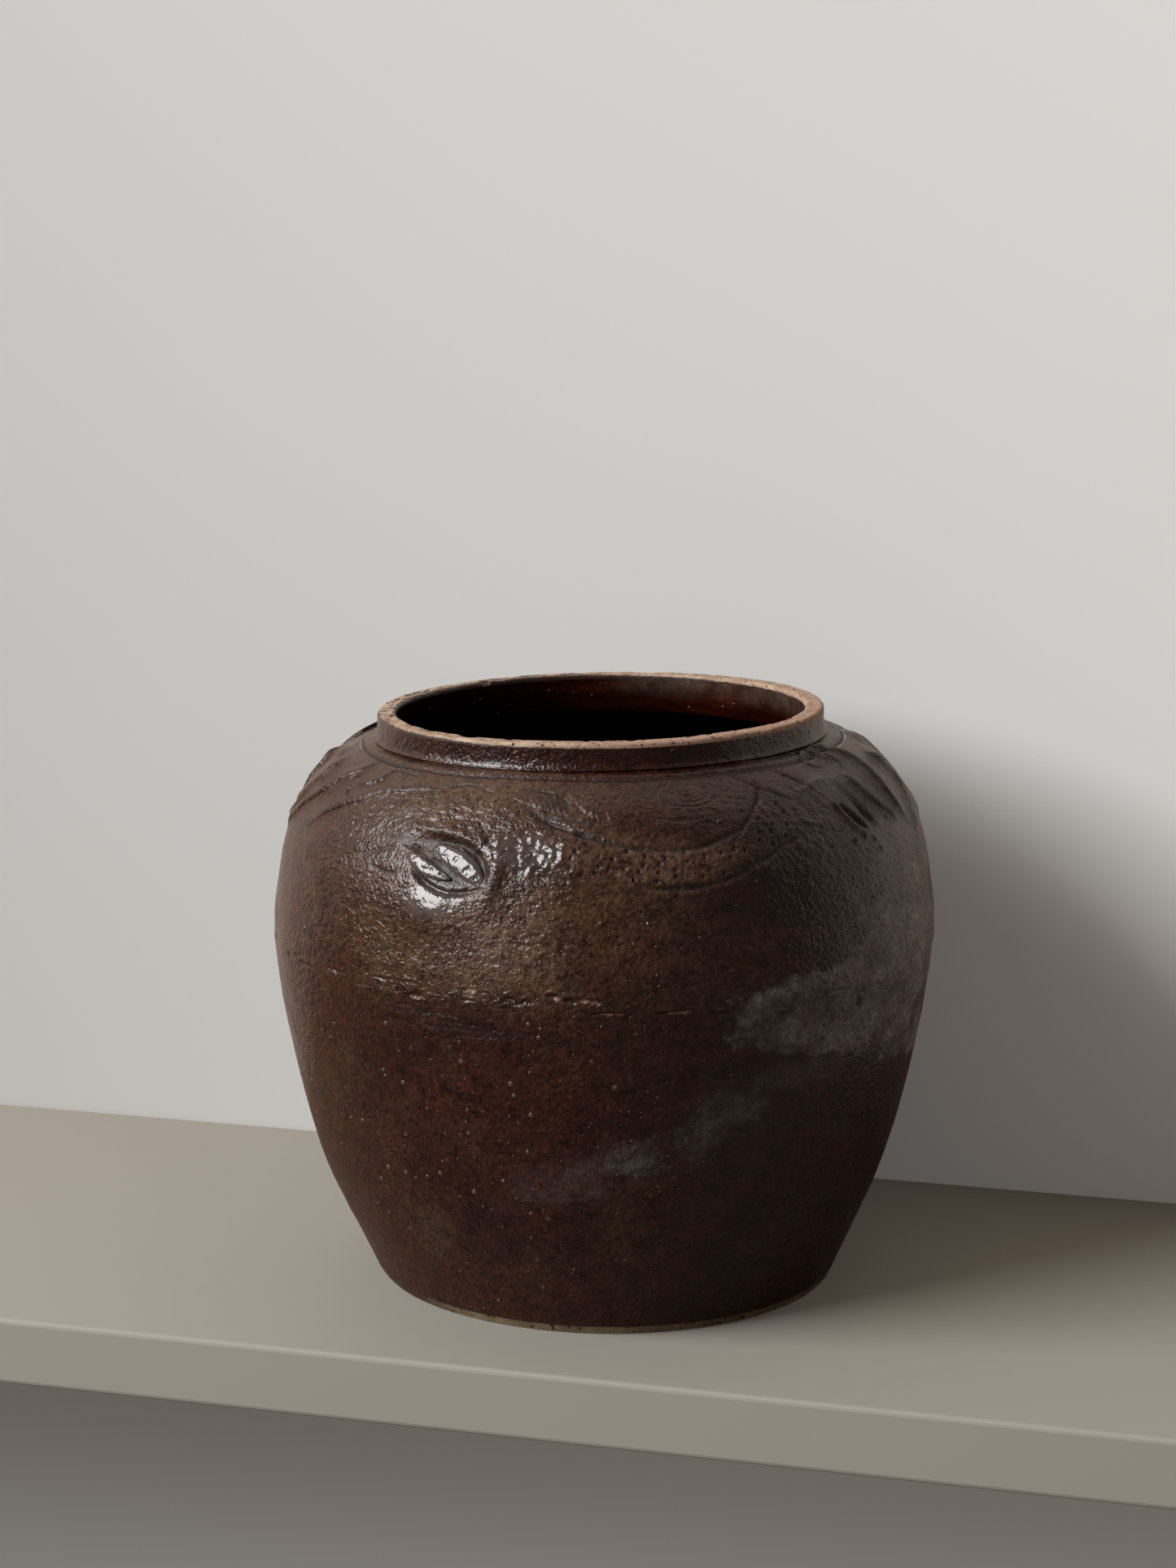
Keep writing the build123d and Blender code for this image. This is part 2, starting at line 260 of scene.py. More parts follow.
class Relief:
    """Heights over the outside wall at many spots, built up feature by feature, and marks for the glaze."""

    def __init__(self, azimuth, run):
        self.azimuth = np.asarray(azimuth, float).ravel()
        self.run = np.asarray(run, float).ravel()
        self.radius, self.level = outline.at(self.run)[:2]
        self.place = on_wall(self.azimuth, self.run)
        self.height = np.zeros(len(self.run))
        self.marks = {name: np.zeros(len(self.run)) for name in ("groove", "bare", "polish")}
        self.turn = 0  # how far round the pot the next features are moved

    def noise(self, size, seed, share=1):
        return value_noise(squeezed(self.place, share), size, seed)

    def mark(self, name, share, picked=slice(None)):
        self.marks[name][picked] = np.maximum(self.marks[name][picked], share)

    def offsets(self, azimuth, run):
        """How far each spot lies to the right of and above a spot, along the wall."""
        return turned_back(self.azimuth - azimuth) * self.radius, self.run - run

    def oval_offsets(self, spot, half_length, half_width, tilt=0):
        """How far each spot lies along and across an oval, as shares of its half sizes."""
        across, up = self.offsets(*wall_spot(spot, self.turn))
        cos, sin = math.cos(math.radians(tilt)), math.sin(math.radians(tilt))
        return (across * cos + up * sin) / (half_length * MM), (up * cos - across * sin) / (half_width * MM)

    def near(self, spots, reach):
        """Numbers of the spots that may lie within reach of a line of spots."""
        middle = spots.mean(axis=0)
        half = np.abs(spots - middle).max(axis=0)
        across, up = self.offsets(*middle)
        return np.nonzero((np.abs(across) < half[0] * BELLY_RADIUS + reach) & (np.abs(up) < half[1] + reach))[0]

    def to_line(self, line, reach):
        """Nearby spots, their signed distance from a line and their share of the way along it."""
        spots = wall_line(line, self.turn)
        picked = self.near(spots, reach)
        if len(picked) == 0:
            return picked, np.zeros(0), np.zeros(0)
        along = wall_directions(np.diff(spots, axis=0), outline.at(spots[1:, 1])[0])
        along = np.vstack([along, along[-1:]])
        best, side, share = np.full(len(picked), np.inf), np.zeros(len(picked)), np.zeros(len(picked))
        for number, (azimuth, run) in enumerate(spots):
            across = turned_back(self.azimuth[picked] - azimuth) * self.radius[picked]
            up = self.run[picked] - run
            gap = np.hypot(across, up)
            closer = gap < best
            best = np.where(closer, gap, best)
            side = np.where(closer, along[number, 0] * up - along[number, 1] * across, side)
            share = np.where(closer, number / (len(spots) - 1), share)
        return picked, np.where(side < 0, -best, best), share

    def crease(self, line, depth, width, lip, fade):
        """A groove along a line, with a lip on its left bank."""
        picked, gap, share = self.to_line(line, (4 * width + 3) * MM)
        taper = smoothstep(0, fade, share) * smoothstep(0, fade, 1 - share)
        taper *= 0.8 + 0.4 * value_noise(self.place[picked], 5, 61)
        self.height[picked] -= depth * MM * taper * bell(gap, width)
        self.mark("groove", taper * bell(gap, 0.9 * width), picked)
        bank = np.where(gap > 0, bell(gap - 1.6 * width * MM, 1.3 * width), 0)
        self.height[picked] += lip * MM * taper * bank

    def fold(self, line, height, left, right, fade):
        """A ridge along a line, falling away over one width on its left and another on its right."""
        picked, gap, share = self.to_line(line, 3 * MM * max(left, right))
        taper = smoothstep(0, fade, share) * smoothstep(0, fade, 1 - share)
        self.height[picked] += height * MM * taper * bell(gap, np.where(gap > 0, left, right))

    def swell(self, spot, height, half_length, half_width, tilt=0, power=2):
        """A smooth swelling, or a hollow when height is negative."""
        along, beside = self.oval_offsets(spot, half_length, half_width, tilt)
        self.height += height * MM * np.exp(-((along**2 + beside**2) ** (power / 2)))

    def pit(self, spot, depth, radius):
        hole = np.exp(-(np.hypot(*self.oval_offsets(spot, radius, radius)) ** 4))
        self.height -= depth * MM * hole
        self.mark("groove", hole)

    def oval_mark(self, name, spot, half_length, half_width, share, tilt=0):
        """A mark over an oval patch. The glaze shows the groove mark there as painted shade, the smooth mark as a
        painted sheen.
        """
        reach = np.hypot(*self.oval_offsets(spot, half_length, half_width, tilt))
        self.mark(name, share * smoothstep(1.15, 0.5, reach))

    def pebbles(self, spot, height, half_length, half_width, size, seed, tilt=0):
        """Lumpy ground inside an oval patch."""
        patch = smoothstep(1.1, 0.75, np.hypot(*self.oval_offsets(spot, half_length, half_width, tilt)))
        picked = np.nonzero(patch > 0)[0]
        lumps = value_noise(self.place[picked], size, seed)
        self.height[picked] += height * MM * patch[picked] * smoothstep(-0.7, 0.7, lumps)


def wall_spot(spot, turn):
    """Azimuth in radians and run from the foot of a spot that is moved round the pot by a turn."""
    return math.radians(spot[0] + turn), float(outline.run_at(spot[1] * MM))


def wall_line(line, turn):
    """The smooth line through some spots, as azimuths and runs at steps of about half a millimetre."""
    spots = np.array([wall_spot(spot, turn) for spot in line])
    scale = np.array([NECK_RADIUS * 1.2, 1])
    return smooth_line(spots * scale, step=0.6 * MM) / scale


def wall_directions(steps, radius):
    """The way that steps in azimuth and run go along the wall."""
    along = np.stack([steps[:, 0] * radius, steps[:, 1]], axis=1)
    return along / np.linalg.norm(along, axis=1)[:, None]


def finished_mesh(name, points, faces, sharp=()):
    """An object with smooth faces, and with its sharp edges marked."""
    mesh = bpy.data.meshes.new(name)
    mesh.vertices.add(len(points))
    mesh.vertices.foreach_set("co", points.astype(np.float32).ravel())
    corners = faces.shape[1]
    mesh.loops.add(faces.size)
    mesh.loops.foreach_set("vertex_index", faces.astype(np.int32).ravel())
    mesh.polygons.add(len(faces))
    mesh.polygons.foreach_set("loop_start", np.arange(0, faces.size, corners, dtype=np.int32))
    mesh.update(calc_edges=True)
    mesh.validate()
    mesh.polygons.foreach_set("use_smooth", np.ones(len(mesh.polygons), bool))
    if len(sharp):
        ends = np.zeros(len(mesh.edges) * 2, np.int32)
        mesh.edges.foreach_get("vertices", ends)
        keys = [np.sort(pairs, axis=1).astype(np.int64) @ [len(points), 1] for pairs in (ends.reshape(-1, 2), sharp)]
        mesh.attributes.new("sharp_edge", "BOOLEAN", "EDGE").data.foreach_set("value", np.isin(*keys))
    mesh.update()
    piece = bpy.data.objects.new(name, mesh)
    bpy.context.collection.objects.link(piece)
    return piece


def row_edges(numbers, rows):
    """The edges along some rows, as pairs of point numbers."""
    return np.vstack([np.stack([numbers[row], np.roll(numbers[row], -1)], axis=1) for row in rows]) if rows else ()


def quads(numbers):
    """Faces between rows of point numbers."""
    corners = numbers[:-1, :-1], numbers[:-1, 1:], numbers[1:, 1:], numbers[1:, :-1]
    return np.stack(corners, axis=-1).reshape(-1, 4)


def sheet_mesh(name, rings, sharp_rows=(), flip=False):
    """A mesh from closed rows of points, joined row to row and the last row to the first."""
    numbers = np.arange(rings[..., 0].size).reshape(rings.shape[:2])
    faces = quads(np.pad(numbers, (0, 1), mode="wrap"))
    if flip:
        faces = faces[:, ::-1]
    return finished_mesh(name, rings.reshape(-1, 3), faces, row_edges(numbers, sharp_rows))


def capped_mesh(name, rings, sharp_rows):
    """A mesh from closed rows of points, whose first and last rows close on a point of the axis."""
    count, columns = rings[..., 0].size, rings.shape[1]
    numbers = np.arange(count).reshape(rings.shape[:2])
    ends = np.array([rings[0].mean(axis=0), rings[-1].mean(axis=0)])
    first, last = np.full(columns, count), np.full(columns, count + 1)
    sides = quads(np.pad(numbers, ((0, 0), (0, 1)), mode="wrap"))
    faces = np.vstack([
        np.stack([first, np.roll(numbers[0], -1), numbers[0]], axis=1),
        np.stack([last, numbers[-1], np.roll(numbers[-1], -1)], axis=1),
        sides[:, [0, 1, 2]],
        sides[:, [0, 2, 3]],
    ])
    return finished_mesh(name, np.vstack([rings.reshape(-1, 3), ends]), faces, row_edges(numbers, sharp_rows))


def mark_points(piece, marks):
    """Keep numbers on a piece's first points, for its material. The other points get 0."""
    for name, values in marks.items():
        padded = np.zeros(len(piece.data.vertices), np.float32)
        padded[:len(values)] = values
        piece.data.attributes.new(name, "FLOAT", "POINT").data.foreach_set("value", padded)
    return piece


# One panel, as seen at the front. A line runs through spots.
SWAG = (
    (-13, 208.5), (-9, 205.5), (-4.5, 202.5), (1, 199.5), (6.5, 197.5), (15.5, 197), (21, 199.3), (26, 203),
    (30, 208.5), (33, 213.5), (34, 217),
)
BORDER_LEFT = ((-13, 191), (-9, 189), (-5.5, 186.5))
BORDER_RIGHT = ((3, 184.3), (10, 184), (18, 184.5), (22.5, 187), (29, 192), (35, 196.5), (42, 198.5))
LOWER_OVAL = ((8, 207.5), (13, 206.3), (19, 206.5), (24, 208.5))
BROW = (
    (-47, 194), (-44, 196.4), (-39, 197.3), (-34.4, 197.7), (-30.5, 198.3), (-26.8, 197.7), (-23.6, 195.3),
    (-21.8, 191.6), (-20.6, 187.2), (-19.9, 182.3),
)
BROW_RIDGE = ((-41, 200.5), (-38, 201.2), (-33.5, 201.3), (-28.3, 200.6), (-24, 198.8), (-19.8, 196.1))
LEAF_PARTING = ((-39, 195.4), (-35.5, 194.6), (-31.8, 191.6), (-28.4, 188.4))
LOWER_LID = (
    (-35.5, 189.5), (-34.3, 186.5), (-32.1, 183.1), (-29.8, 181), (-27.6, 180), (-23.9, 180.7), (-20, 182.2),
)
STEMS = (
    ((-52, 187.5), (-48, 188.5), (-45.1, 190.1), (-42.4, 192.3), (-38.8, 192.1), (-37.3, 189.3)),
    ((-46, 186), (-42.2, 184.8), (-39.4, 184), (-37.2, 186.8), (-36.6, 189)),
)
PATCH_SCAR = ((-12.5, 189), (-11.5, 188.3), (-8.5, 187.5), (-5, 186))
DRAPES = (
    ((-88, 183), (-84, 188), (-77, 198.5), (-71.8, 205.2), (-68.7, 210.2), (-65, 214.5), (-62, 219)),
    (
        (-70, 190), (-66, 197), (-61, 202.5), (-58.1, 205.1), (-54.3, 208), (-50.9, 211.2), (-45.8, 212.9),
        (-40.3, 214.4), (-35, 214.5),
    ),
    ((-92, 186), (-84, 194), (-83, 201.7), (-79, 209), (-78.7, 212.9), (-79, 218)),
)
SHORT_DRAPE = ((-61, 210), (-56, 213.5), (-51, 217.5))
SIDE_KNOTS = ((-96, 212), (-93, 203), (-91, 195), (-87, 216))
CURLS = (
    ((-59, 206.6), (-61, 208.1), (-61, 210.2), (-58.6, 211.7), (-56, 211.5)),
    ((-55.2, 214.1), (-53, 214.4), (-53.1, 216.6), (-52.3, 218.2), (-48.5, 218.2), (-42.9, 217.9)),
)
KNOT = ((-36.5, 214), (-33, 216), (-29, 217.2), (-25, 216), (-21, 214.7))
TWIN_CREASES = (
    ((-18.5, 216), (-15.1, 217), (-12, 216.2), (-8.9, 215.2), (-7.2, 213), (-5.8, 209)),
    ((-17, 211.5), (-14, 209.5), (-9, 207.8), (-4, 206.8), (0.5, 205.5)),
)
TWIN_BORDER = ((-3.5, 216.5), (-2.2, 215), (-0.4, 212.7), (0.9, 210.1), (1.4, 207), (-0.3, 204.8))
RIGHT_DRAPES = (
    (
        (56.5, 220.5), (60, 221), (64, 220), (68, 217.5), (70.3, 213.5), (70.8, 209.6), (71, 205), (72, 199),
        (74.5, 190),
    ),
    ((57.5, 219.5), (60.5, 219), (62.5, 217), (63, 213.7)),
    (
        (58, 214.5), (59, 212.5), (60.2, 209.5), (61.1, 206.6), (62.8, 203.3), (64.1, 201), (66.5, 197.7),
        (69, 193),
    ),
    ((81, 216), (84, 208), (84, 199.4), (79.7, 191.9), (75, 184)),
)
RIGHT_CURL = ((60, 219.5), (56.5, 220.8), (53.5, 220), (53, 217.8), (55, 216.8), (57.5, 217.6))
RIGHT_HOLLOW = (
    (53.5, 213.5), (54.9, 210.4), (56.1, 207.2), (57.4, 203.8), (58.1, 200), (58.9, 196.7), (59.1, 193.5),
)
RIGHT_RIM = ((48.5, 208.5), (50, 205.8), (50.7, 202), (52, 198.3), (53.5, 195.7), (55.5, 193.7))
RIGHT_BROW = ((40.5, 211.1), (44.5, 211.9), (48.7, 213.1), (51.4, 213.3), (52.8, 210.5))
RIGHT_TAIL = ((38.5, 203.2), (41.4, 201.3), (45, 200.2))
RIGHT_KNOBS = ((50.8, 192.7), (54.2, 193.6), (56.8, 191.5), (57.6, 187.4))

# Line, depth, width, height of the lip on the left bank, share of the way over which each end fades
CREASES = (
    (SWAG, 1.0, 1.2, 0, 0.05), (SWAG[:4], 0.7, 1.5, 0, 0.3), (BORDER_LEFT, 0.7, 1.0, 0, 0.25),
    (BORDER_RIGHT, 1.0, 1.3, 0, 0.2), (LOWER_OVAL, 0.4, 0.6, 0, 0.3), (BROW, 0.4, 1.5, 0, 0.3),
    (BROW[3:], 1.4, 1.6, 0, 0.3), (LEAF_PARTING, 0.9, 1.3, 0, 0.3), (LOWER_LID, 1.4, 1.2, 0, 0.25),
    *((line, 0.6, 1.0, 0, 0.4) for line in STEMS), (PATCH_SCAR, 0.6, 0.8, 0.4, 0.3),
    (DRAPES[0], 0.5, 1.0, 0, 0.3), *((line, 0.7, 0.8, 0.4, 0.25) for line in CURLS),
    (KNOT, 0.6, 0.9, 0.2, 0.25), *((line, 0.45, 0.9, 0, 0.3) for line in TWIN_CREASES),
    (RIGHT_HOLLOW, 1.0, 2.0, 0, 0.35), (RIGHT_HOLLOW[2:], 1.6, 2.2, 0, 0.35),
)

# Line, height, widths on its left and right, share of the way over which each end fades
FOLDS = (
    (BROW_RIDGE, 1.0, 2.5, 3.0, 0.35), (DRAPES[0], 1.5, 4.0, 2.5, 0.2), (DRAPES[1], 0.7, 3.5, 2.5, 0.3),
    (DRAPES[2], 1.6, 3.5, 2.5, 0.2), (SHORT_DRAPE, 0.8, 2, 1.5, 0.35), (TWIN_BORDER, 0.3, 0.8, 0.8, 0.2),
    *((line, 1.8, 1.1, 2.8, 0.2) for line in RIGHT_DRAPES), (RIGHT_CURL, 0.9, 0.9, 0.9, 0.1),
    (RIGHT_RIM, 1.2, 1.3, 2.0, 0.25), (RIGHT_BROW, 0.7, 1.2, 1.2, 0.3), (RIGHT_TAIL, 0.6, 1.0, 1.0, 0.3),
)

# Spot, height, half length, half width, tilt, power
SWELLS = (
    ((17, 203), 1.2, 34, 15, 0, 2), ((-28.3, 190.8), -1.6, 17, 9, -22, 4), ((-30.5, 172), 2.2, 15, 9, 2, 2),
    ((-19.2, 187), 1.3, 3.5, 10, -8, 2), ((-5, 196), 2.7, 12, 10, 0, 2),
    *((spot, 1.2, 5, 4, 60, 2) for spot in SIDE_KNOTS), *((spot, 0.9, 1.6, 1.3, 0, 2) for spot in RIGHT_KNOBS),
)

# Mark, spot, half length, half width, share, tilt: dull glaze painted darker over the hollow round the leaf,
# as painted shade, and smooth glaze with a painted sheen over the bulge below it and over the lumpy patch
SHADE_AND_SHEEN_OVALS = (
    ("groove", (-29, 190), 15, 7.5, 0.45, -30), ("polish", (-30, 176), 18, 8, 0.9, 0),
    ("polish", (-14, 196), 19, 11, 0.8, 0),
)

# Lumpy ground: step of the seed, spot, height, half length, half width, size of the lumps, tilt
PEBBLES = (
    (0, (-13.5, 196), 0.5, 18, 10, 2.3, 5), (4, (-13.5, 196), 0.3, 18, 10, 1.5, 5),
    (5, (-28, 201.5), 0.4, 24, 4, 2.4, -6), (1, (-38, 206), 0.28, 44, 14, 2.1, 8),
    (2, (12, 191), 0.2, 52, 7, 2.4, 0), (3, (40, 203), 0.3, 22, 16, 2.6, 0),
)

OVAL_SPOT = (17.3, 214.6)
OVAL_LENGTHS = (25, 17, 10.5, 5)
OVAL_SLIM = 0.53
OVAL_LINE = 0.5

# Rows of dots: how many, and how far down from the swag to its border
DOT_ROWS = ((14, 0.2), (12, 0.4), (13, 0.6), (10, 0.8))
DOTS_FROM, DOTS_SPAN = -7, 44
DOTS_TOP = ((-9, 205), (1, 199.5), (11, 197), (21, 199.3), (30, 208), (38, 212))
DOTS_BOTTOM = ((-9, 189), (3, 184.5), (18, 184.5), (29, 192), (38, 198))

# Each panel's name, turn and seed, and the height that its relief stays above
PANELS = (("front", 0, 5), ("back", 180, 105))
PANEL_BOTTOM = 160

# Lines left by the rib below the seam: height, from one azimuth to another
DARK_LINES = ((128, -32, -15), (126, -20, 2), (124, -2, 22), (133, -47, -28), (130.5, 2, 14), (121.5, -44, -30))
THROWING_LINE_HEIGHT = 219.6
SEAM_LINE_HEIGHT = 139.5

# Torn spots along the seam (spot, half length, half width, depth), and chips that show bare clay
SCARS = (
    ((-59, 140.5), 8, 0.9, 0.6), ((-50, 142.5), 5, 0.8, 0.4), ((-39, 144), 5, 0.8, 0.5),
    ((-33, 144.5), 4, 0.8, 0.35), ((-22.5, 144.3), 5, 0.8, 0.45), ((-15.5, 141.8), 3, 1.2, 0.7),
    ((-8.5, 144.2), 2.5, 1.0, 0.9), ((-5.5, 142.6), 5, 1.3, 1.0), ((-2, 142.0), 4, 1.2, 1.0),
    ((-0.5, 137.5), 6, 0.7, 0.8), ((10.5, 137.5), 6, 0.7, 0.9), ((19, 136.5), 4, 0.7, 0.6),
    ((30, 133.4), 4, 0.8, 0.6), ((47, 131), 1.2, 1.2, 1.0),
)
CHIPS = (
    ((-3.0, 142.4), 4.2, 1.2), ((-7.5, 143), 1.5, 0.6), ((11.5, 137.7), 5.5, 0.35), ((0.5, 137.6), 4, 0.3),
    ((-22, 144.5), 2.5, 0.3),
)

# Chips out of the lip's inner edge: azimuth, half length and depth
LIP_CHIPS = ((-144.5, 2.5, 1.6), (-38, 4, 0.5), (-52, 2, 0.4), (64, 3, 0.4))


def carve_panel(relief, seed):
    """One panel's lines, folds, swellings and pits in the shoulder itself."""
    for features, carve in ((CREASES, relief.crease), (FOLDS, relief.fold), (SWELLS, relief.swell)):
        for feature in features:
            carve(*feature)
    for oval_mark in SHADE_AND_SHEEN_OVALS:
        relief.oval_mark(*oval_mark)
    for step, spot, height, half_length, half_width, size, tilt in PEBBLES:
        relief.pebbles(spot, height, half_length, half_width, size, seed + step, tilt)
    carve_ovals(relief)
    carve_dots(relief, seed)


def carve_ovals(relief):
    """Thin ovals, one inside another."""
    across, up = relief.offsets(*wall_spot(OVAL_SPOT, relief.turn))
    reach = np.hypot(across, up / OVAL_SLIM)
    scale = np.hypot(across, up * OVAL_SLIM**-0.5) * OVAL_SLIM**0.5 / np.maximum(reach, 0.1 * MM)
    worn = 0.5 + 0.5 * relief.noise(6, 51)
    for length in OVAL_LENGTHS:
        line = worn * bell((reach - length / 2 * MM) * scale, OVAL_LINE)
        relief.height -= 0.45 * MM * line
        relief.mark("groove", 0.4 * line)


def carve_dots(relief, seed):
    """Pits pricked between the swag and its border, in loose rows."""
    random = np.random.default_rng(seed)
    for count, level in DOT_ROWS:
        for step in range(count):
            azimuth = DOTS_FROM + DOTS_SPAN * (step + 0.5 + random.uniform(-0.3, 0.3)) / count
            top, bottom = (np.interp(azimuth, *np.array(edge).T) for edge in (DOTS_TOP, DOTS_BOTTOM))
            spot = (azimuth, between(top, bottom, level) + random.uniform(-1, 1))
            relief.pit(spot, random.uniform(0.4, 0.9), random.uniform(0.6, 1.05))


def carve_pot(relief):
    """What the hands, the wheel and the kiln left all over the outside."""
    relief.height += 0.45 * MM * relief.noise(45, 11)
    relief.height += 0.16 * MM * relief.noise(11, 12)
    relief.height += 0.07 * MM * relief.noise(4, 13, 2.2)
    wander = 0.5 * MM * relief.noise(35, 14, 0)
    gap = relief.level - THROWING_LINE_HEIGHT * MM - wander
    relief.height -= 0.7 * MM * bell(gap, 0.4)
    relief.height += 0.35 * MM * bell(gap - 1.0 * MM, 0.5)
    relief.mark("groove", 0.8 * bell(gap, 0.4))
    azimuth = np.degrees(relief.azimuth)
    broken = smoothstep(-0.3, 0.3, relief.noise(9, 15))
    for height, low, high in DARK_LINES:
        line = bell(relief.level - height * MM - 1.2 * wander, 0.7) * broken
        line = line * smoothstep(low - 6, low, azimuth) * smoothstep(high + 6, high, azimuth)
        relief.height -= 0.12 * MM * line
        relief.mark("groove", 0.6 * line)


def carve_seam(relief):
    """The luted belly seam: a faint ledge, torn where it was not smoothed."""
    level = relief.level - (SEAM_LINE_HEIGHT + 1.5 * relief.noise(60, 21, 0)) * MM
    relief.height += 0.3 * MM * bell(level, 3)
    torn = smoothstep(0.1, 0.5, relief.noise(16, 22, 0.2)) * smoothstep(0.1, 0.5, relief.noise(3.5, 23, 3))
    relief.height -= 0.8 * MM * torn * bell(level, 2.2)


def carve_scars(relief, torn_edge):
    """The torn scars and the bare chips along the seam."""
    for spot, half_length, half_width, depth in SCARS:
        along, beside = relief.oval_offsets(spot, half_length, half_width)
        reach = np.hypot(along, beside) + 0.5 * torn_edge
        above = np.hypot(along, beside - 1.6) + 0.4 * torn_edge
        relief.height -= depth * MM * smoothstep(1.1, 0.5, reach)
        relief.height += 0.4 * depth * MM * smoothstep(1.2, 0.4, above)
        relief.mark("groove", 0.5 * smoothstep(1.0, 0.4, reach))
    for chip in CHIPS:
        reach = np.hypot(*relief.oval_offsets(*chip)) + 0.4 * torn_edge
        relief.mark("bare", smoothstep(1.1, 0.7, reach))


def carved(azimuth, run):
    """The relief of the outside wall at these spots."""
    relief = Relief(azimuth, run)
    carve_pot(relief)
    carve_seam(relief)
    torn_edge = relief.noise(2.5, 24, 2)
    for _, turn, seed in PANELS:
        relief.turn = turn
        carve_scars(relief, torn_edge)
        if relief.run.max() > outline.run_at(PANEL_BOTTOM * MM):
            carve_panel(relief, seed)
    return relief


def outside_heights(azimuth, run):
    return carved(azimuth, run).height.reshape(np.shape(azimuth))


def even_runs(start, *stretches):
    """Runs from a start on. Each stretch is given by its step, about, and by where it ends."""
    runs = [start]
    for step, end in zip(stretches[::2], stretches[1::2]):
        count = max(2, round((end - runs[-1]) / (step * MM)) + 1)
        runs.extend(np.linspace(runs[-1], end, count)[1:])
    return np.array(runs)


def grid(columns, rows):
    """Azimuths all round the pot at every row, and the rows."""
    return np.meshgrid(np.linspace(-math.pi, math.pi, columns, endpoint=False), rows)


def outer_rings(columns, runs):
    """Rows of the outside wall, and the marks at their points."""
    azimuth, run = grid(columns, runs)
    relief = carved(azimuth, run)
    return on_wall(azimuth, run, relief.height.reshape(run.shape)), relief.marks


def inner_rings(columns, runs):
    """Rows of the inner wall, with throwing rings and slight waves."""
    azimuth, run = grid(columns, runs)
    points = on_wall(azimuth, run, inner=True).reshape(-1, 3)
    waves = 0.2 * MM * np.sin(points[:, 2] / (7.5 * MM) * 2 * math.pi + 2 * value_noise(points, 60, 31))
    waves += 0.3 * MM * value_noise(points, 30, 32)
    return on_wall(azimuth, run, waves.reshape(run.shape), inner=True)


def round_rings(columns, line):
    """Rings through (radius, height) points."""
    radius, height = np.array(line).T[..., None]
    return around(grid(columns, [0])[0], radius, height)


def shoulder_piece():
    bottom, torn_to, fine_from = (outline.run_at(height) for height in (SEAM_HEIGHT, 147 * MM, 172 * MM))
    outer, marks = outer_rings(FINE_COLUMNS, even_runs(bottom, 0.5, torn_to, 1.1, fine_from, 0.52, outline.length))
    inner_bottom, inner_top = outline.inner_run_at(SEAM_HEIGHT), outline.inner_run_at_radius(NECK_RADIUS)
    inner = inner_rings(FINE_COLUMNS, even_runs(inner_bottom, 3, inner_top))
    outer[0, :, 2] = inner[0, :, 2] = SEAM_HEIGHT
    rings = np.concatenate([outer, inner[::-1]])
    sharp = (0, len(outer) - 1, len(outer), len(rings) - 1)
    return mark_points(sheet_mesh("shoulder_shell", warped(rings), sharp), marks)


def lower_piece():
    bottom, torn_from, top = (outline.run_at(height) for height in (BARE_FOOT_HEIGHT, 119 * MM, SEAM_HEIGHT))
    outer, marks = outer_rings(COARSE_COLUMNS, even_runs(bottom, 1.3, torn_from, 0.5, top))
    hidden, inner_bottom, inner_top = map(outline.inner_run_at, (BARE_FOOT_HEIGHT, SLAB_TOP, SEAM_HEIGHT))
    inner = inner_rings(COARSE_COLUMNS, even_runs(inner_bottom, 3.5, inner_top))
    hidden = on_wall(*grid(COARSE_COLUMNS, [hidden]), inner=True)
    outer[0, :, 2] = hidden[0, :, 2] = BARE_FOOT_HEIGHT
    outer[-1, :, 2] = inner[-1, :, 2] = SEAM_HEIGHT
    inner[0, :, 2] = SLAB_TOP
    rings = np.concatenate([outer, inner[::-1], hidden])
    sharp = (0, len(outer) - 1, len(outer), len(rings) - 2, len(rings) - 1)
    return mark_points(sheet_mesh("lower_shell", warped(rings), sharp), marks)


def slab_piece():
    """The base slab: a bare edge, a floor with throwing rings and a shallow hollow underneath."""
    radii = outline.inner_radius(SLAB_TOP) * np.linspace(0.02, 1, 40)
    heights = SLAB_TOP + 0.35 * MM * np.sin(radii / (6 * MM) * 2 * math.pi)
    heights[-1] = SLAB_TOP
    tuck = (outline.inner_radius(BARE_FOOT_HEIGHT), BARE_FOOT_HEIGHT)
    top = round_rings(SLAB_COLUMNS, [*zip(radii, heights), tuck])
    azimuth, run = grid(SLAB_COLUMNS, even_runs(0, 0.55, outline.run_at(BARE_FOOT_HEIGHT)))
    edge = on_wall(azimuth, run, outside_heights(azimuth, run) - 0.25 * MM)
    edge[0, :, 2], edge[-1, :, 2] = 0, BARE_FOOT_HEIGHT
    hollow = FOOT_RADIUS - FOOT_RING
    hollow_line = [(hollow, 0), (hollow - 1.2 * MM, 1.5 * MM), (hollow * 0.5, 1.4 * MM), (2 * MM, 1.3 * MM)]
    rings = np.concatenate([top, edge[::-1], round_rings(SLAB_COLUMNS, hollow_line)])
    sharp = (len(top) - 2, len(top) - 1, len(top), len(top) - 1 + len(edge))
    return capped_mesh("base_slab_clay", warped(rings), sharp)


def coil_piece():
    """The coil pressed over the inside of the seam, pinched along its length."""
    azimuth, angle = grid(COIL_COLUMNS, np.linspace(0, math.pi, 15))
    middle, half = (COIL_LOW + COIL_HIGH) / 2, (COIL_HIGH - COIL_LOW) / 2
    height = middle - half * np.cos(angle)
    pinch = 0.8 + 0.2 * np.cos(azimuth * 46)
    face = around(azimuth, outline.inner_radius(height) - COIL_PROUD * np.sin(angle) * pinch, height)
    back = round_rings(COIL_COLUMNS, [(outline.inner_radius(middle) + 0.4 * MM, middle)])
    return sheet_mesh("seam_coil_clay", warped(np.concatenate([face, back])), flip=True)


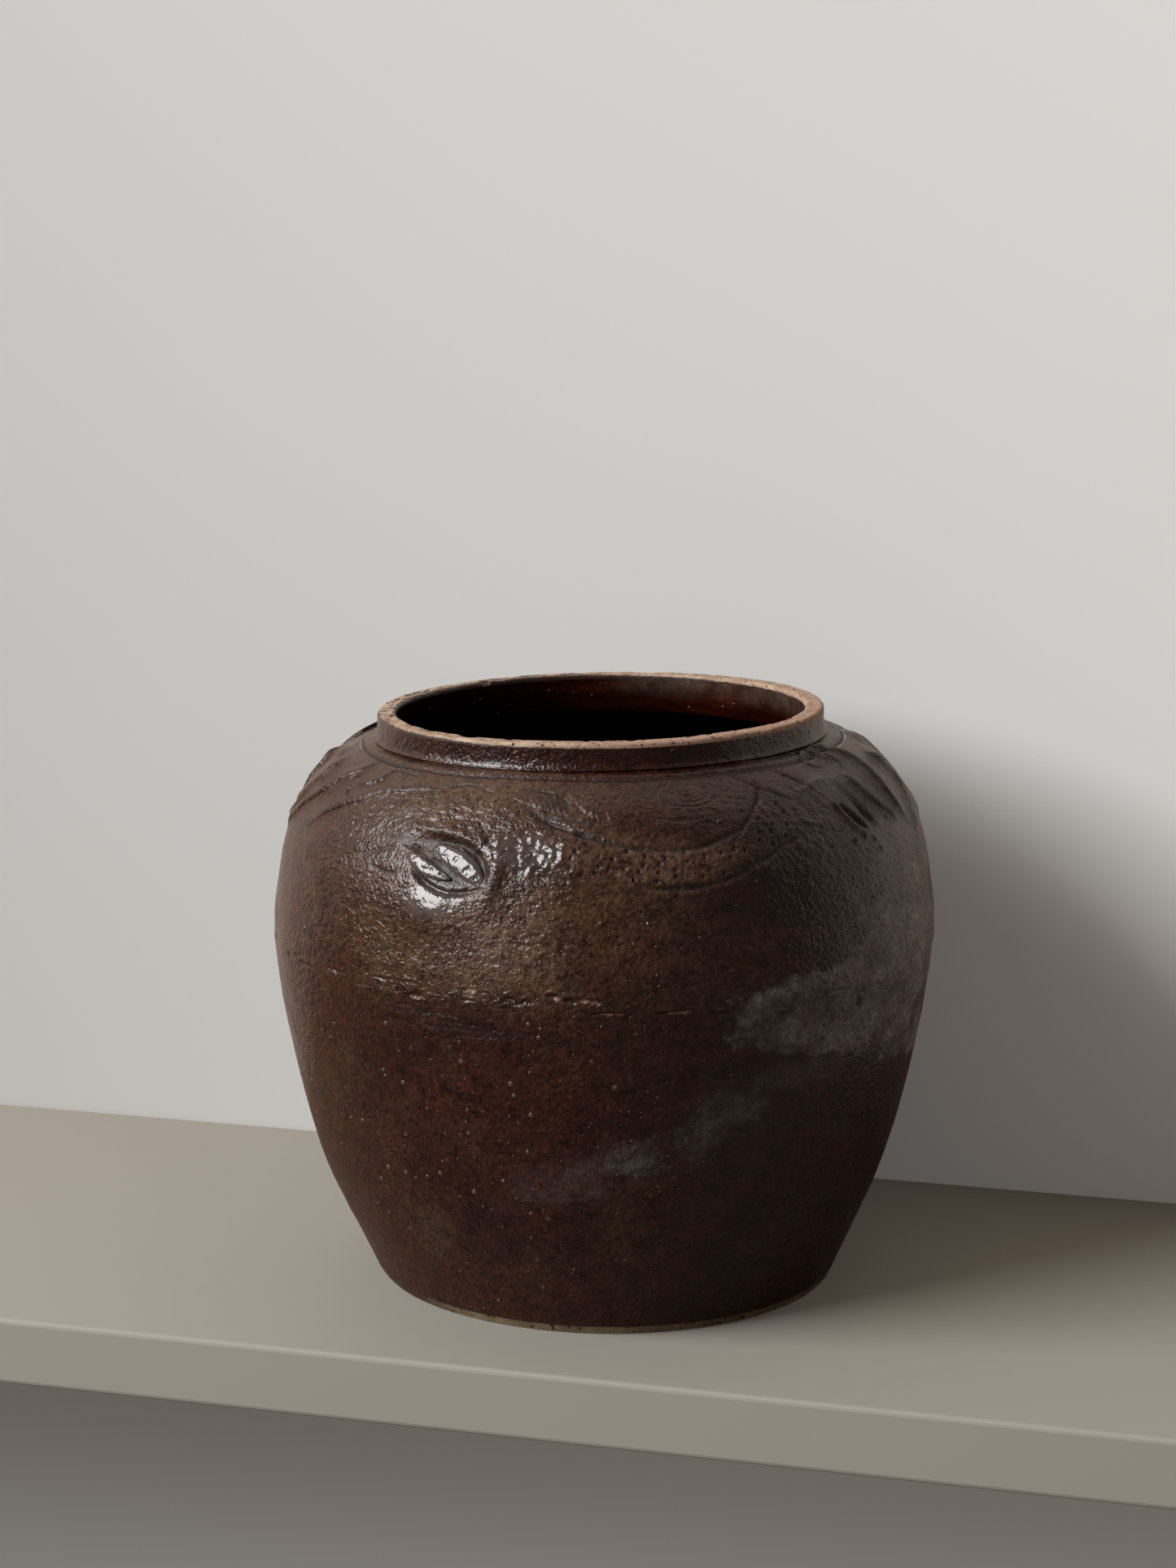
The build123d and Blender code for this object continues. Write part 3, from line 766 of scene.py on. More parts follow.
def collar_piece():
    """The collar, with the clay smeared from it on to the shoulder."""
    rises = np.arange(0, LIP_BOTTOM / MM - NECK_HEIGHT / MM - 0.3, 0.3)
    flare = [(NECK_RADIUS + 1.7 * MM * math.exp(-rise / 1.1), NECK_HEIGHT + (0.15 + rise) * MM) for rise in rises]
    outside = [(NECK_RADIUS, COLLAR_BOTTOM), (NECK_RADIUS, NECK_HEIGHT - 0.4 * MM), *flare, (NECK_RADIUS, LIP_BOTTOM)]
    inside = [(MOUTH_RADIUS, height) for height in np.linspace(LIP_BOTTOM, COLLAR_BOTTOM + 1.5 * MM, 10)]
    inside += [(MOUTH_RADIUS + 0.6 * MM, COLLAR_BOTTOM + 0.4 * MM), (MOUTH_RADIUS + 2 * MM, COLLAR_BOTTOM)]
    rings = roughened(round_rings(FINE_COLUMNS, outside + inside))
    azimuth = np.degrees(azimuths_of(rings))
    # A smooth band at the collar's foot on the left front, which the glaze also paints with a pale sheen.
    polish = bell(rings[..., 2] - 221 * MM, 2) * smoothstep(-46, -38, azimuth) * smoothstep(-14, -22, azimuth)
    polish[len(outside):] = 0
    piece = sheet_mesh("collar_shell", warped(rings), (0, len(outside) - 1, len(outside)))
    return mark_points(piece, {"polish": polish.ravel()})


def roughened(rings):
    """Rings pushed in and out a little, alike on the collar and on the lip."""
    points = rings.reshape(-1, 3)
    out = squeezed(points, 0)
    out /= np.linalg.norm(out, axis=1)[:, None]
    waves = 0.25 * MM * (value_noise(points, 12, 41) + 0.15 * value_noise(points, 3, 42))
    return (points + out * waves[:, None]).reshape(rings.shape)


def lip_piece():
    """The bare lip: worn round at its edges, with small chips."""
    worn = 1.3 * MM
    corner = [(worn * (1 - math.cos(turn)), JAR_HEIGHT - worn * (1 - math.sin(turn)))
              for turn in map(math.radians, range(0, 91, 15))]
    outside = [(NECK_RADIUS, LIP_BOTTOM)] + [(NECK_RADIUS - inward, height) for inward, height in corner]
    middle = [(radius, JAR_HEIGHT) for radius in np.linspace(NECK_RADIUS - worn, MOUTH_RADIUS + worn, 9)[1:-1]]
    inside = [(MOUTH_RADIUS + outward, height) for outward, height in reversed(corner)]
    rings = roughened(round_rings(FINE_COLUMNS, outside + middle + inside + [(MOUTH_RADIUS, LIP_BOTTOM)]))
    points = rings.reshape(-1, 3)
    face = smoothstep(LIP_BOTTOM + 0.5 * MM, JAR_HEIGHT, points[:, 2])
    points[:, 2] -= face * 0.3 * MM * smoothstep(0.2, 0.8, value_noise(points, 5, 43))
    points[:, 2] -= face * 0.25 * MM * (1 + value_noise(squeezed(points, 0), 25, 44)) / 2
    points[:, 2] -= face * 0.25 * MM * smoothstep(0.45, 0.7, value_noise(points, 1.6, 45))
    radius = np.hypot(points[:, 0], points[:, 1])
    inner = face * smoothstep(MOUTH_RADIUS + 4 * MM, MOUTH_RADIUS + 1 * MM, radius)
    for azimuth, half, depth in LIP_CHIPS:
        along = np.abs(turned_back(azimuths_of(points) - math.radians(azimuth))) * MOUTH_RADIUS / (half * MM)
        points[:, 2] -= inner * depth * MM * smoothstep(1.1, 0.5, along)
    return sheet_mesh("lip_clay", warped(points.reshape(rings.shape)), (0, len(rings) - 1))


# Sprigs. A strip's line runs along its middle. Its widths are given as shares of the way along the
# line and millimetres to one side.
UPPER_LOBE_LINE = ((-31.7, 196.1), (-29.3, 193.5), (-26.5, 190.2), (-23.6, 187), (-20.8, 182.8))
UPPER_LOBE_LEFT = ((0, 0.8), (0.2, 4.2), (0.5, 6.4), (0.75, 5.6), (0.92, 3.4), (1, 0.8))
UPPER_LOBE_RIGHT = ((0, 0.8), (0.2, 2.3), (0.5, 3.2), (0.75, 2.9), (0.92, 1.9), (1, 0.5))
LOWER_LOBE_LINE = ((-37, 192), (-34.5, 189.9), (-32.1, 187.9), (-29.8, 186.4), (-26.8, 184.8))
LOWER_LOBE_LEFT = ((0, 1.0), (0.25, 2.9), (0.6, 2.7), (0.85, 1.6), (1, 0.3))
LOWER_LOBE_RIGHT = ((0, 1.0), (0.25, 3.0), (0.6, 3.1), (0.85, 2.1), (1, 0.3))
RIGHT_LEAF_LINE = ((51.6, 205.5), (52.8, 202.6), (54, 200.3), (55, 198), (56, 195.2))
RIGHT_LEAF_SIDES = ((0, 0), (0.2, 1.2), (0.5, 2.0), (0.8, 1.6), (1, 0))
TWIN_LINES = (
    ((-18.5, 214.2), (-14.8, 213.4), (-11.8, 212.4), (-8.8, 211.2), (-6.2, 208.8)),
    ((-6.8, 215.6), (-4.4, 213.4), (-2.3, 210.6), (0.2, 206.8)),
)
RIGHT_TWIN_LINES = (
    ((28.5, 219), (33, 216.3), (37, 213), (40, 209)),
    ((40, 219.3), (44, 216.5), (47, 212.5), (48.5, 208)),
)
TWIN_SIDES = ((0, 0), (0.2, 1.8), (0.5, 2.8), (0.8, 2.2), (1, 0))
SCROLL_SIDES = ((0, 0), (0.1, 1.5), (0.5, 2.2), (0.9, 1.5), (1, 0))
STRIP_COLUMNS = 33
THIN_END = 0.05
SUNK = 0.6 * MM
LOBE_BED = 0.1
DULL = {"groove": 0.25}


def lobe_rise(lean):
    """A flat lobe with soft edges and slanting notches where its veins run, higher on its left by a lean."""
    def rise(share, across, length):
        ends = np.sin(np.pi * np.clip(share, 0.001, 0.999)) ** 0.25
        dome = (1.3 * (1 - np.abs(across) ** 6) + lean * across * (1 - across**6)) * ends
        wander = 0.25 * np.sin(share * 23) + 0.15 * np.sin(share * 57 + 1)
        slant = share * length / 4.0 - across * 0.5 + wander
        notch = (0.5 + 0.5 * np.cos(2 * np.pi * slant)) ** 6
        veins = 0.55 * notch * (1 - across**4) * (0.5 + 0.5 * np.sin(share * 31 + 3 * across))
        return dome - veins * smoothstep(-0.9, 0.2, across) * ends
    return rise


def twin_rise(share, across, length):
    lumps = 0.1 * np.sin(share * length * 1.9 + 5 * across) * (1 - across**2)
    return (0.45 * (1 - across**2) + lumps) * np.sin(np.pi * share) ** 0.5


def narrow_leaf_rise(share, across, length):
    dome = 1.4 * (1 - across**2) * np.sin(np.pi * share) ** 0.5
    veins = 0.08 * np.cos(2 * np.pi * (share * length / 3.2 - np.abs(across)))
    return dome + veins * (1 - across**4)


def scroll_rise(share, across, _):
    return 0.6 * (1 - across**2) * np.sin(np.pi * share) ** 0.5


def alike(lines, sides, rise):
    """Strips with the same widths on both sides."""
    return [(line, sides, sides, rise) for line in lines]


# Piece, part of the jar, place on the panel, bed, marks and strips (line, left, right, rise)
SPRIGS = (
    # The leaf's lobes are smooth glaze, painted with a pale sheen.
    ("leaf", "leaf", "left", LOBE_BED, {"polish": 1}, [
        (UPPER_LOBE_LINE, UPPER_LOBE_LEFT, UPPER_LOBE_RIGHT, lobe_rise(0.5)),
        (LOWER_LOBE_LINE, LOWER_LOBE_LEFT, LOWER_LOBE_RIGHT, lobe_rise(0.1)),
    ]),
    ("leaf", "leaf", "right", None, {}, alike([RIGHT_LEAF_LINE], RIGHT_LEAF_SIDES, narrow_leaf_rise)),
    ("twin", "twin_leaf", "left", None, DULL, alike(TWIN_LINES, TWIN_SIDES, twin_rise)),
    ("twin", "twin_leaf", "right", None, DULL, alike(RIGHT_TWIN_LINES, TWIN_SIDES, twin_rise)),
    ("scroll", "scroll", "left_upper", None, DULL, alike([DRAPES[1]], SCROLL_SIDES, scroll_rise)),
    ("scroll", "scroll", "left_lower", None, DULL, alike([DRAPES[0]], SCROLL_SIDES, scroll_rise)),
    ("scroll", "scroll", "right_upper", None, DULL, alike([RIGHT_DRAPES[0]], SCROLL_SIDES, scroll_rise)),
    ("scroll", "scroll", "right_lower", None, DULL, alike([RIGHT_DRAPES[2]], SCROLL_SIDES, scroll_rise)),
)


def eased(widths, share):
    """Half widths along a strip, with soft corners and thin ends."""
    kernel = np.hanning(9)
    padded = np.pad(np.interp(share, *np.array(widths).T), 4, mode="edge")
    soft = np.convolve(padded, kernel / kernel.sum(), mode="valid")
    soft[[0, -1]] = THIN_END
    return np.maximum(soft, THIN_END)[:, None] * MM


def strip_points(line, left, right, rise, turn, bed):
    """Upper and lower points of a strip of clay laid on the shoulder. It follows the relief under it,
    or lies level at a bed's height over its high spots."""
    spots = wall_line(line, turn)
    share, across = np.linspace(0, 1, len(spots)), np.linspace(-1, 1, STRIP_COLUMNS)[None, :]
    radius = outline.at(spots[:, 1])[0]
    along = wall_directions(np.gradient(spots, axis=0), radius)
    offset = across * np.where(across > 0, eased(left, share), eased(right, share))
    azimuth = spots[:, :1] - along[:, 1:] * offset / radius[:, None]
    run = spots[:, 1:] + along[:, :1] * offset
    under = outside_heights(azimuth, run)
    base = under if bed is None else np.percentile(under, 75) + bed * MM
    length = np.linalg.norm(np.diff(spots * [BELLY_RADIUS, 1], axis=0), axis=1).sum() / MM
    top = on_wall(azimuth, run, base + rise(share[:, None], across, length) * MM)
    return warped(np.stack([top, on_wall(azimuth, run, np.minimum(base, under) - SUNK)]))


def strip_faces(numbers):
    """Faces all round a strip, from the numbers of its upper and lower points."""
    upper, lower = numbers
    return np.vstack([
        quads(upper)[:, ::-1],
        quads(lower),
        quads(numbers[:, :, 0])[:, ::-1],
        quads(numbers[:, :, -1]),
        quads(numbers[:, 0]),
        quads(numbers[:, -1])[:, ::-1],
    ])


def sprig_piece(name, turn, bed, marks, strips):
    """One object out of one or more strips, with the same marks on all its points."""
    points, faces, count = [], [], 0
    for line, left, right, rise in strips:
        points.append(strip_points(line, left, right, rise, turn, bed))
        numbers = count + np.arange(points[-1][..., 0].size).reshape(points[-1].shape[:3])
        faces.append(strip_faces(numbers))
        count += numbers.size
    piece = finished_mesh(name, np.vstack([each.reshape(-1, 3) for each in points]), np.vstack(faces))
    return mark_points(piece, {mark: np.full(count, value) for mark, value in marks.items()})


def make_sprigs():
    """The relief laid on both panels, as (piece, node) pairs."""
    for place, turn, _ in PANELS:
        for kind, part, side, *rest in SPRIGS:
            yield sprig_piece(f"{kind}_relief_{place}_{side}", turn, *rest), f"{part}_{place}_{side}"


class Nodes:
    """Small helpers to write a material's nodes. Lengths are in millimetres."""

    def __init__(self, name):
        self.material = bpy.data.materials.new(name)
        self.material.use_nodes = True
        self.tree = self.material.node_tree
        self.shader = self.tree.nodes["Principled BSDF"]
        self.place = self.new("TexCoord").outputs["Object"]
        axes = self.new("SeparateXYZ", self.place).outputs
        self.x, self.y, self.z = (self.times(axis, 1 / MM) for axis in axes)

    def new(self, kind, *values, **settings):
        """A new node with these settings, and with these values on its first inputs."""
        node = self.tree.nodes.new("ShaderNode" + kind)
        for name, setting in settings.items():
            setattr(node, name, setting)
        for value, socket in zip(values, node.inputs):
            self.link(value, socket)
        return node

    def link(self, source, target):
        if isinstance(source, (int, float)):
            target.default_value = source
        elif isinstance(source, tuple):
            target.default_value = (*source, 1) if len(target.default_value) == 4 else source
        else:
            self.tree.links.new(source, target)

    def math(self, operation, *values):
        return self.new("Math", *values, operation=operation).outputs[0]

    def times(self, *values):
        return reduce(lambda first, second: self.math("MULTIPLY", first, second), values)

    def most(self, *values):
        return reduce(lambda first, second: self.math("MAXIMUM", first, second), values)

    def plus(self, base, value, share):
        """A base and a share of a value."""
        return self.math("MULTIPLY_ADD", value, share, base)

    def rest(self, share):
        return self.math("SUBTRACT", 1, share)

    def moved(self, shift, stretch=(1, 1, 1)):
        mapping = self.new("Mapping", self.place)
        self.link((shift, shift * 1.7, shift * 0.6), mapping.inputs["Location"])
        self.link(stretch, mapping.inputs["Scale"])
        return mapping.outputs[0]

    def noise(self, size, detail=2.0, rough=0.5, stretch=(1, 1, 1), shift=0.0):
        """Noise between 0 and 1 in bumps of about this size."""
        node = self.new("TexNoise", self.moved(shift, stretch))
        for name, value in (("Scale", 1 / (size * MM)), ("Detail", detail), ("Roughness", rough)):
            self.link(value, node.inputs[name])
        return node.outputs["Fac"]

    def dots(self, size, radius, keep=0.5, shift=0.0):
        """Round spots of this radius share, one to a cell of this size, of which a share is kept."""
        cells = self.new("TexVoronoi", self.moved(shift))
        self.link(1 / (size * MM), cells.inputs["Scale"])
        draws = self.new("SeparateColor", cells.outputs["Color"]).outputs
        reach = self.plus(0.4 * radius, draws[1], 0.6 * radius)
        spot = self.step(reach, self.times(reach, 0.5), cells.outputs["Distance"])
        return self.times(self.math("LESS_THAN", draws[0], keep), spot)

    def span(self, value, low, high, first, last, way="LINEAR"):
        """first at low, last at high, and in step between them."""
        return self.new("MapRange", value, low, high, first, last, interpolation_type=way).outputs["Result"]

    def step(self, low, high, value):
        """0 at low and 1 at high, smooth between them."""
        return self.span(value, low, high, 0, 1, "SMOOTHSTEP")

    def mix(self, share, first, second, way="MIX"):
        """Colours mixed by a share."""
        node = self.new("Mix", share, data_type="RGBA", blend_type=way)
        self.link(first, node.inputs[6])
        self.link(second, node.inputs[7])
        return node.outputs[2]

    def coat(self, colour, share, strength, tint):
        """A colour with a tint over it, as strong as a share of a strength."""
        return self.mix(self.times(share, strength), colour, tint)

    def tinted(self, colour, tint):
        """A colour times another."""
        return self.mix(1, colour, tint, "MULTIPLY")

    def scaled(self, colour, share):
        node = self.new("VectorMath", colour, operation="SCALE")
        self.link(share, node.inputs["Scale"])
        return node.outputs[0]

    def curve(self, value, points):
        """A line through (position, height) points that lie between 0 and 1."""
        node = self.new("ValToRGB", value)
        stops = node.color_ramp.elements
        stops[0].position, stops[-1].position = points[0][0], points[-1][0]
        for position, _ in points[1:-1]:
            stops.new(position)
        for stop, (_, height) in zip(stops, points):
            stop.color = (height, height, height, 1)
        return node.outputs["Color"]

    def mark(self, name):
        """A number kept on the mesh's points."""
        return self.new("Attribute", attribute_name=name).outputs["Fac"]

    @cached_property
    def azimuth(self):
        return self.times(self.math("ARCTAN2", self.x, self.times(self.y, -1)), 180 / math.pi)

    @cached_property
    def inside(self):
        """1 where the surface faces the jar's axis."""
        outward = self.new("VectorMath", self.place, (1, 1, 0), operation="MULTIPLY").outputs[0]
        normal = self.new("NewGeometry").outputs["True Normal"]
        facing = self.new("VectorMath", normal, outward, operation="DOT_PRODUCT").outputs["Value"]
        return self.math("LESS_THAN", facing, -0.001)

    def side(self, start, full):
        """Rises from one azimuth to another and fades out again at the back, where azimuths wrap round."""
        end = math.copysign(180, full - start)
        fade = self.step(end, end - math.copysign(30, end), self.azimuth)
        return self.times(self.step(start, full, self.azimuth), fade)

    def oval(self, azimuth, height, half_azimuth, half_height, tilt=0):
        """Distance from a spot, as shares of an oval's half sizes. The tilt is in millimetres a degree."""
        turn = self.math("SUBTRACT", self.azimuth, azimuth)
        level = self.plus(self.math("SUBTRACT", self.z, height), turn, -tilt)
        across, up = self.math("DIVIDE", turn, half_azimuth), self.math("DIVIDE", level, half_height)
        return self.math("SQRT", self.math("ADD", self.times(across, across), self.times(up, up)))

    def finished(self, colour, rough, bumps, distance):
        """The material with this colour, this roughness and bumps of this height."""
        self.link(colour, self.shader.inputs["Base Color"])
        self.link(rough, self.shader.inputs["Roughness"])
        bump = self.new("Bump")
        self.link(distance * MM, bump.inputs["Distance"])
        self.link(bumps, bump.inputs["Height"])
        self.link(bump.outputs[0], self.shader.inputs["Normal"])
        return self.material


# Ovals where the glaze is mixed towards another colour: azimuth, height, half sizes and tilt, distances at which
# it starts and is full, strength, colour. The first is a painted sheen and the last is painted shade.
GLAZE_SPOTS = (
    # painted sheen below the leaf, where the window's highlight fades out
    ((-19, 160, 15, 26), 1.2, 0.2, 0.85, (0.105, 0.056, 0.036)),
    ((10, 193, 19, 11), 1.2, 0.5, 0.6, (0.112, 0.058, 0.036)),
    ((18, 214, 19, 15), 1.15, 0.85, 0.6, (0.021, 0.0050, 0.0030)),
    # painted shade on the right shoulder, away from the window
    ((31, 186, 13, 17, 0.3), 1.25, 0.4, 0.8, (0.0125, 0.0020, 0.0010)),
)
UPPER_BROWNS = (0.039, 0.0140, 0.0070), (0.070, 0.0300, 0.0155)
LOWER_BROWNS = (0.020, 0.0046, 0.0028), (0.040, 0.0102, 0.0056)
RIGHT_BROWN, LEFT_BROWN = (0.0260, 0.0070, 0.0058), (0.036, 0.0085, 0.0014)
OLIVE, PLUM = (0.050, 0.0300, 0.0150), (0.026, 0.0120, 0.0125)
IRON_RED, NECK_RED = (0.042, 0.0085, 0.0048), (0.0210, 0.0030, 0.0012)
MOTTLE_DARK, MOTTLE_LIGHT = (0.22, 0.11, 0.09), (1.75, 1.95, 2.0)
ASH_GREYS = (0.166, 0.142, 0.138), (0.240, 0.236, 0.236)
MILKY_GLAZE_AND_SHEEN = (0.185, 0.180, 0.188)
PIMPLE, PINHOLE = (0.17, 0.12, 0.09), (0.008, 0.005, 0.004)
GROOVE_DARK, FOOT_EDGE_DARK = (0.007, 0.0035, 0.0035), (0.02, 0.012, 0.01)
CHIP_CLAY = (0.48, 0.27, 0.19)
INNER_BROWNS = (0.020, 0.0036, 0.0015), (0.052, 0.0078, 0.0028)
INNER_BLOOM = (0.110, 0.084, 0.064)
CLAYS = (0.40, 0.265, 0.180), (0.56, 0.415, 0.310)
PINK_CLAY, CLAY_GRAIN = (0.40, 0.245, 0.180), (0.2, 0.1, 0.06)
CLAY_SPECKS, FINE_SPECKS = (0.09, 0.05, 0.035), (0.035, 0.02, 0.015)
FOOT_TAN, GLAZE_OVER_CLAY = (0.40, 0.42, 0.33), (0.04, 0.018, 0.013)

# Where the ash begins on the right: height, azimuth
ASH_EDGE = (
    (0, 100), (92, 82), (104, 60), (112, 46), (119, 27), (131, 21.5), (142, 23), (146, 31), (150, 44), (160, 49.5),
    (174, 52), (188, 54.5), (200, 57), (210, 52), (218, 46), (222, 37), (229, 33), (240, 33),
)


def clay_colour(nodes):
    """Bare buff clay with dark specks, pinker on the right of the lip."""
    colour = nodes.mix(nodes.step(0.35, 0.65, nodes.noise(9, 3, shift=3)), *CLAYS)
    pink = nodes.times(nodes.step(-14, -2, nodes.azimuth), nodes.step(130, 60, nodes.azimuth))
    colour = nodes.coat(colour, nodes.times(pink, nodes.step(100, 200, nodes.z)), 0.7, PINK_CLAY)
    colour = nodes.mix(nodes.step(0.56, 0.72, nodes.noise(1.6, 3, 0.7, shift=5)), colour, CLAY_GRAIN)
    colour = nodes.mix(nodes.dots(3.6, 0.36, 0.62, shift=0.4), colour, CLAY_SPECKS)
    return nodes.mix(nodes.dots(2.6, 0.38, 0.6), colour, FINE_SPECKS)


def glaze_colour(nodes):
    """Brown glaze, darker and redder below the belly, with a fine mottle."""
    light = nodes.step(0.36, 0.64, nodes.noise(50, 3, shift=1))
    # Darker below the belly: partly the glaze's own change at the seam, partly painted shade where the wall turns
    # down away from the light.
    low = nodes.step(162, 138, nodes.plus(nodes.z, nodes.noise(18, 3, shift=2), 24))
    colour = nodes.mix(low, nodes.mix(light, *UPPER_BROWNS), nodes.mix(light, *LOWER_BROWNS))
    colour = nodes.coat(colour, nodes.side(-10, 36), 0.85, RIGHT_BROWN)
    colour = nodes.coat(colour, nodes.side(-25, -60), 0.85, LEFT_BROWN)
    olive = nodes.step(0.5, 0.72, nodes.noise(24, 4, 0.6, (1, 1, 0.6), shift=17))
    colour = nodes.coat(colour, olive, 0.55, OLIVE)
    plum = nodes.times(nodes.step(0.5, 0.7, nodes.noise(30, 4, 0.6, shift=19)), nodes.side(-5, 30))
    colour = nodes.coat(colour, plum, 0.6, PLUM)
    colour = nodes.coat(colour, red_patches(nodes), 0.7, IRON_RED)
    for oval, start, full, strength, tint in GLAZE_SPOTS:
        colour = nodes.coat(colour, nodes.step(start, full, nodes.oval(*oval)), strength, tint)
    colour = nodes.coat(colour, nodes.step(220.5, 222.5, nodes.z), 0.9, NECK_RED)
    coarse, fine = nodes.noise(8, 4, 0.65, (1, 1, 1.3), shift=7), nodes.noise(2.3, 4, 0.65, shift=8)
    blotches = nodes.plus(nodes.times(fine, 0.45), coarse, 0.3)
    blotches = nodes.span(nodes.plus(blotches, nodes.noise(1.2, 3, 0.6, shift=10), 0.25), 0.40, 0.60, 0, 1)
    return nodes.mix(blotches, nodes.tinted(colour, MOTTLE_DARK), nodes.tinted(colour, MOTTLE_LIGHT))


def red_patches(nodes):
    """Where the glaze is thin over iron: low on the left and round the collar."""
    runs = nodes.noise(14, 4, 0.65, (1, 1, 0.3), shift=9)
    low = nodes.step(1.15, 0.4, nodes.oval(-20, 88, 32, 48))
    left = nodes.step(1.15, 0.3, nodes.oval(-62, 120, 22, 70))
    patches = nodes.times(nodes.most(low, left), nodes.step(0.42, 0.58, runs))
    return nodes.most(patches, nodes.times(nodes.step(222, 224, nodes.z), nodes.step(0.35, 0.6, runs)))


def haze(nodes):
    """Where ash left the glaze grey and less shiny."""
    edge = nodes.curve(nodes.math("DIVIDE", nodes.z, 240), [(height / 240, turn / 100) for height, turn in ASH_EDGE])
    beyond = nodes.math("SUBTRACT", nodes.azimuth, nodes.times(edge, 100))
    ragged = nodes.plus(beyond, nodes.noise(15, 6, 0.7, shift=13), 46)
    patch = nodes.times(nodes.step(18, 29, ragged), nodes.step(150, 110, nodes.azimuth))
    cloud, fine = nodes.noise(22, 4, 0.6, (1, 1, 1.4), shift=14), nodes.noise(3.0, 4, 0.7, shift=15)
    streak = nodes.step(1.2, 0.3, nodes.oval(16, 88, 36, 16, tilt=0.85))
    streak = nodes.times(streak, 0.36, nodes.step(0.4, 0.6, cloud))
    worn = nodes.times(nodes.span(cloud, 0.36, 0.58, 0.25, 1.15), nodes.span(fine, 0.35, 0.62, 0.4, 1.15))
    return nodes.times(nodes.most(patch, streak), worn, nodes.span(nodes.z, 172, 192, 1, 0.3))


def glaze_bumps(nodes):
    """Orange peel, pimples and pinholes."""
    height = nodes.plus(nodes.noise(2.8, 2, 0.5, (1, 1, 1.3), shift=21), nodes.noise(1.3, 2, 0.5, shift=23), 0.7)
    height = nodes.plus(height, nodes.dots(5.5, 0.24, 0.5, shift=0.3), 0.8)
    return nodes.plus(height, nodes.dots(4.6, 0.2, 0.5, shift=0.7), -1.2)


def brown_glaze():
    nodes = Nodes("brown_glaze")
    ash, polish, groove, bare = haze(nodes), nodes.mark("polish"), nodes.mark("groove"), nodes.mark("bare")
    grey = nodes.mix(nodes.step(0.35, 0.65, nodes.noise(12, 4, 0.6, shift=16)), *ASH_GREYS)
    grey = nodes.scaled(grey, nodes.span(nodes.noise(2.4, 4, 0.65, shift=18), 0.35, 0.65, 0.65, 1.35))
    # Painted light: the ash grey is made lighter towards the far right of the pot, where it catches the light.
    grey = nodes.scaled(grey, nodes.span(nodes.azimuth, 55, 75, 1, 1.3))
    colour = nodes.coat(glaze_colour(nodes), ash, 0.9, grey)
    speckled = nodes.step(1.3, 0.3, nodes.oval(-18, 80, 52, 75))
    pimples = nodes.most(nodes.dots(5.5, 0.26, 0.6, shift=0.3), nodes.dots(3.4, 0.22, 0.4, shift=0.5))
    colour = nodes.coat(colour, nodes.times(pimples, speckled), 0.6, PIMPLE)
    colour = nodes.coat(colour, nodes.dots(4.6, 0.2, 0.5, shift=0.7), 0.7, PINHOLE)
    # Where the glaze is smooth it is mixed towards a pale milky grey: partly the milky glaze pooled there, partly a
    # painted sheen of the window's highlight.
    colour = nodes.coat(colour, nodes.times(polish, polish), 0.32, MILKY_GLAZE_AND_SHEEN)
    # Darker where the glaze pools in grooves, pits and scars; over the hollow round the leaf this darkening is
    # painted shade.
    colour = nodes.coat(colour, groove, 0.9, GROOVE_DARK)
    foot_edge = nodes.step(4.9, 4.2, nodes.plus(nodes.z, nodes.noise(14, 3, shift=31), 1.6))
    colour = nodes.coat(colour, foot_edge, 0.8, FOOT_EDGE_DARK)
    colour = nodes.mix(nodes.inside, colour, inner_colour(nodes))
    colour = nodes.mix(bare, colour, CHIP_CLAY)
    dull = nodes.rest(nodes.most(nodes.times(polish, 0.78), nodes.times(nodes.inside, 0.7)))
    rough = nodes.plus(nodes.plus(0.19, nodes.noise(16, 3, shift=41), 0.2), ash, 0.25)
    rough = nodes.times(nodes.plus(rough, groove, 0.35), dull)
    rough = nodes.most(rough, nodes.times(bare, 0.65))
    return nodes.finished(colour, rough, nodes.times(glaze_bumps(nodes), dull), 0.6)


def inner_colour(nodes):
    """Thin glaze over throwing lines, with a grey bloom under the lip at the back, and painted shade and light:
    darker deeper down and on the left, lighter on the right.
    """
    streaks = nodes.noise(6, 4, 0.6, (0.15, 0.15, 1.6), shift=51)
    colour = nodes.mix(nodes.step(0.4, 0.65, streaks), *INNER_BROWNS)
    fine = nodes.noise(2.2, 3, 0.6, (0.5, 0.5, 1.5), shift=53)
    for share in (
        nodes.span(fine, 0.35, 0.65, 0.7, 1.3),
        # Painted shade deeper inside and on the left under the lip, and painted light on the right where the window
        # reaches in.
        nodes.span(nodes.z, 211, 229, 0.05, 1.1),
        nodes.span(nodes.x, -60, 0, 0.2, 0.6),
        nodes.span(nodes.x, 0, 60, 1, 1.5),
    ):
        colour = nodes.scaled(colour, share)
    back = nodes.times(nodes.step(-5, 18, nodes.x), nodes.step(221, 231, nodes.z))
    bloom = nodes.times(back, nodes.span(nodes.noise(9, 4, 0.65, shift=55), 0.38, 0.6, 0.3, 1))
    return nodes.coat(colour, bloom, 0.6, INNER_BLOOM)


def inner_glaze():
    nodes = Nodes("inner_glaze")
    nodes.shader.inputs["Specular IOR Level"].default_value = 0.4
    rough = nodes.plus(0.5, nodes.noise(10, shift=61), 0.2)
    return nodes.finished(inner_colour(nodes), rough, nodes.noise(3, 3, 0.5, (1, 1, 2), shift=63), 0.3)


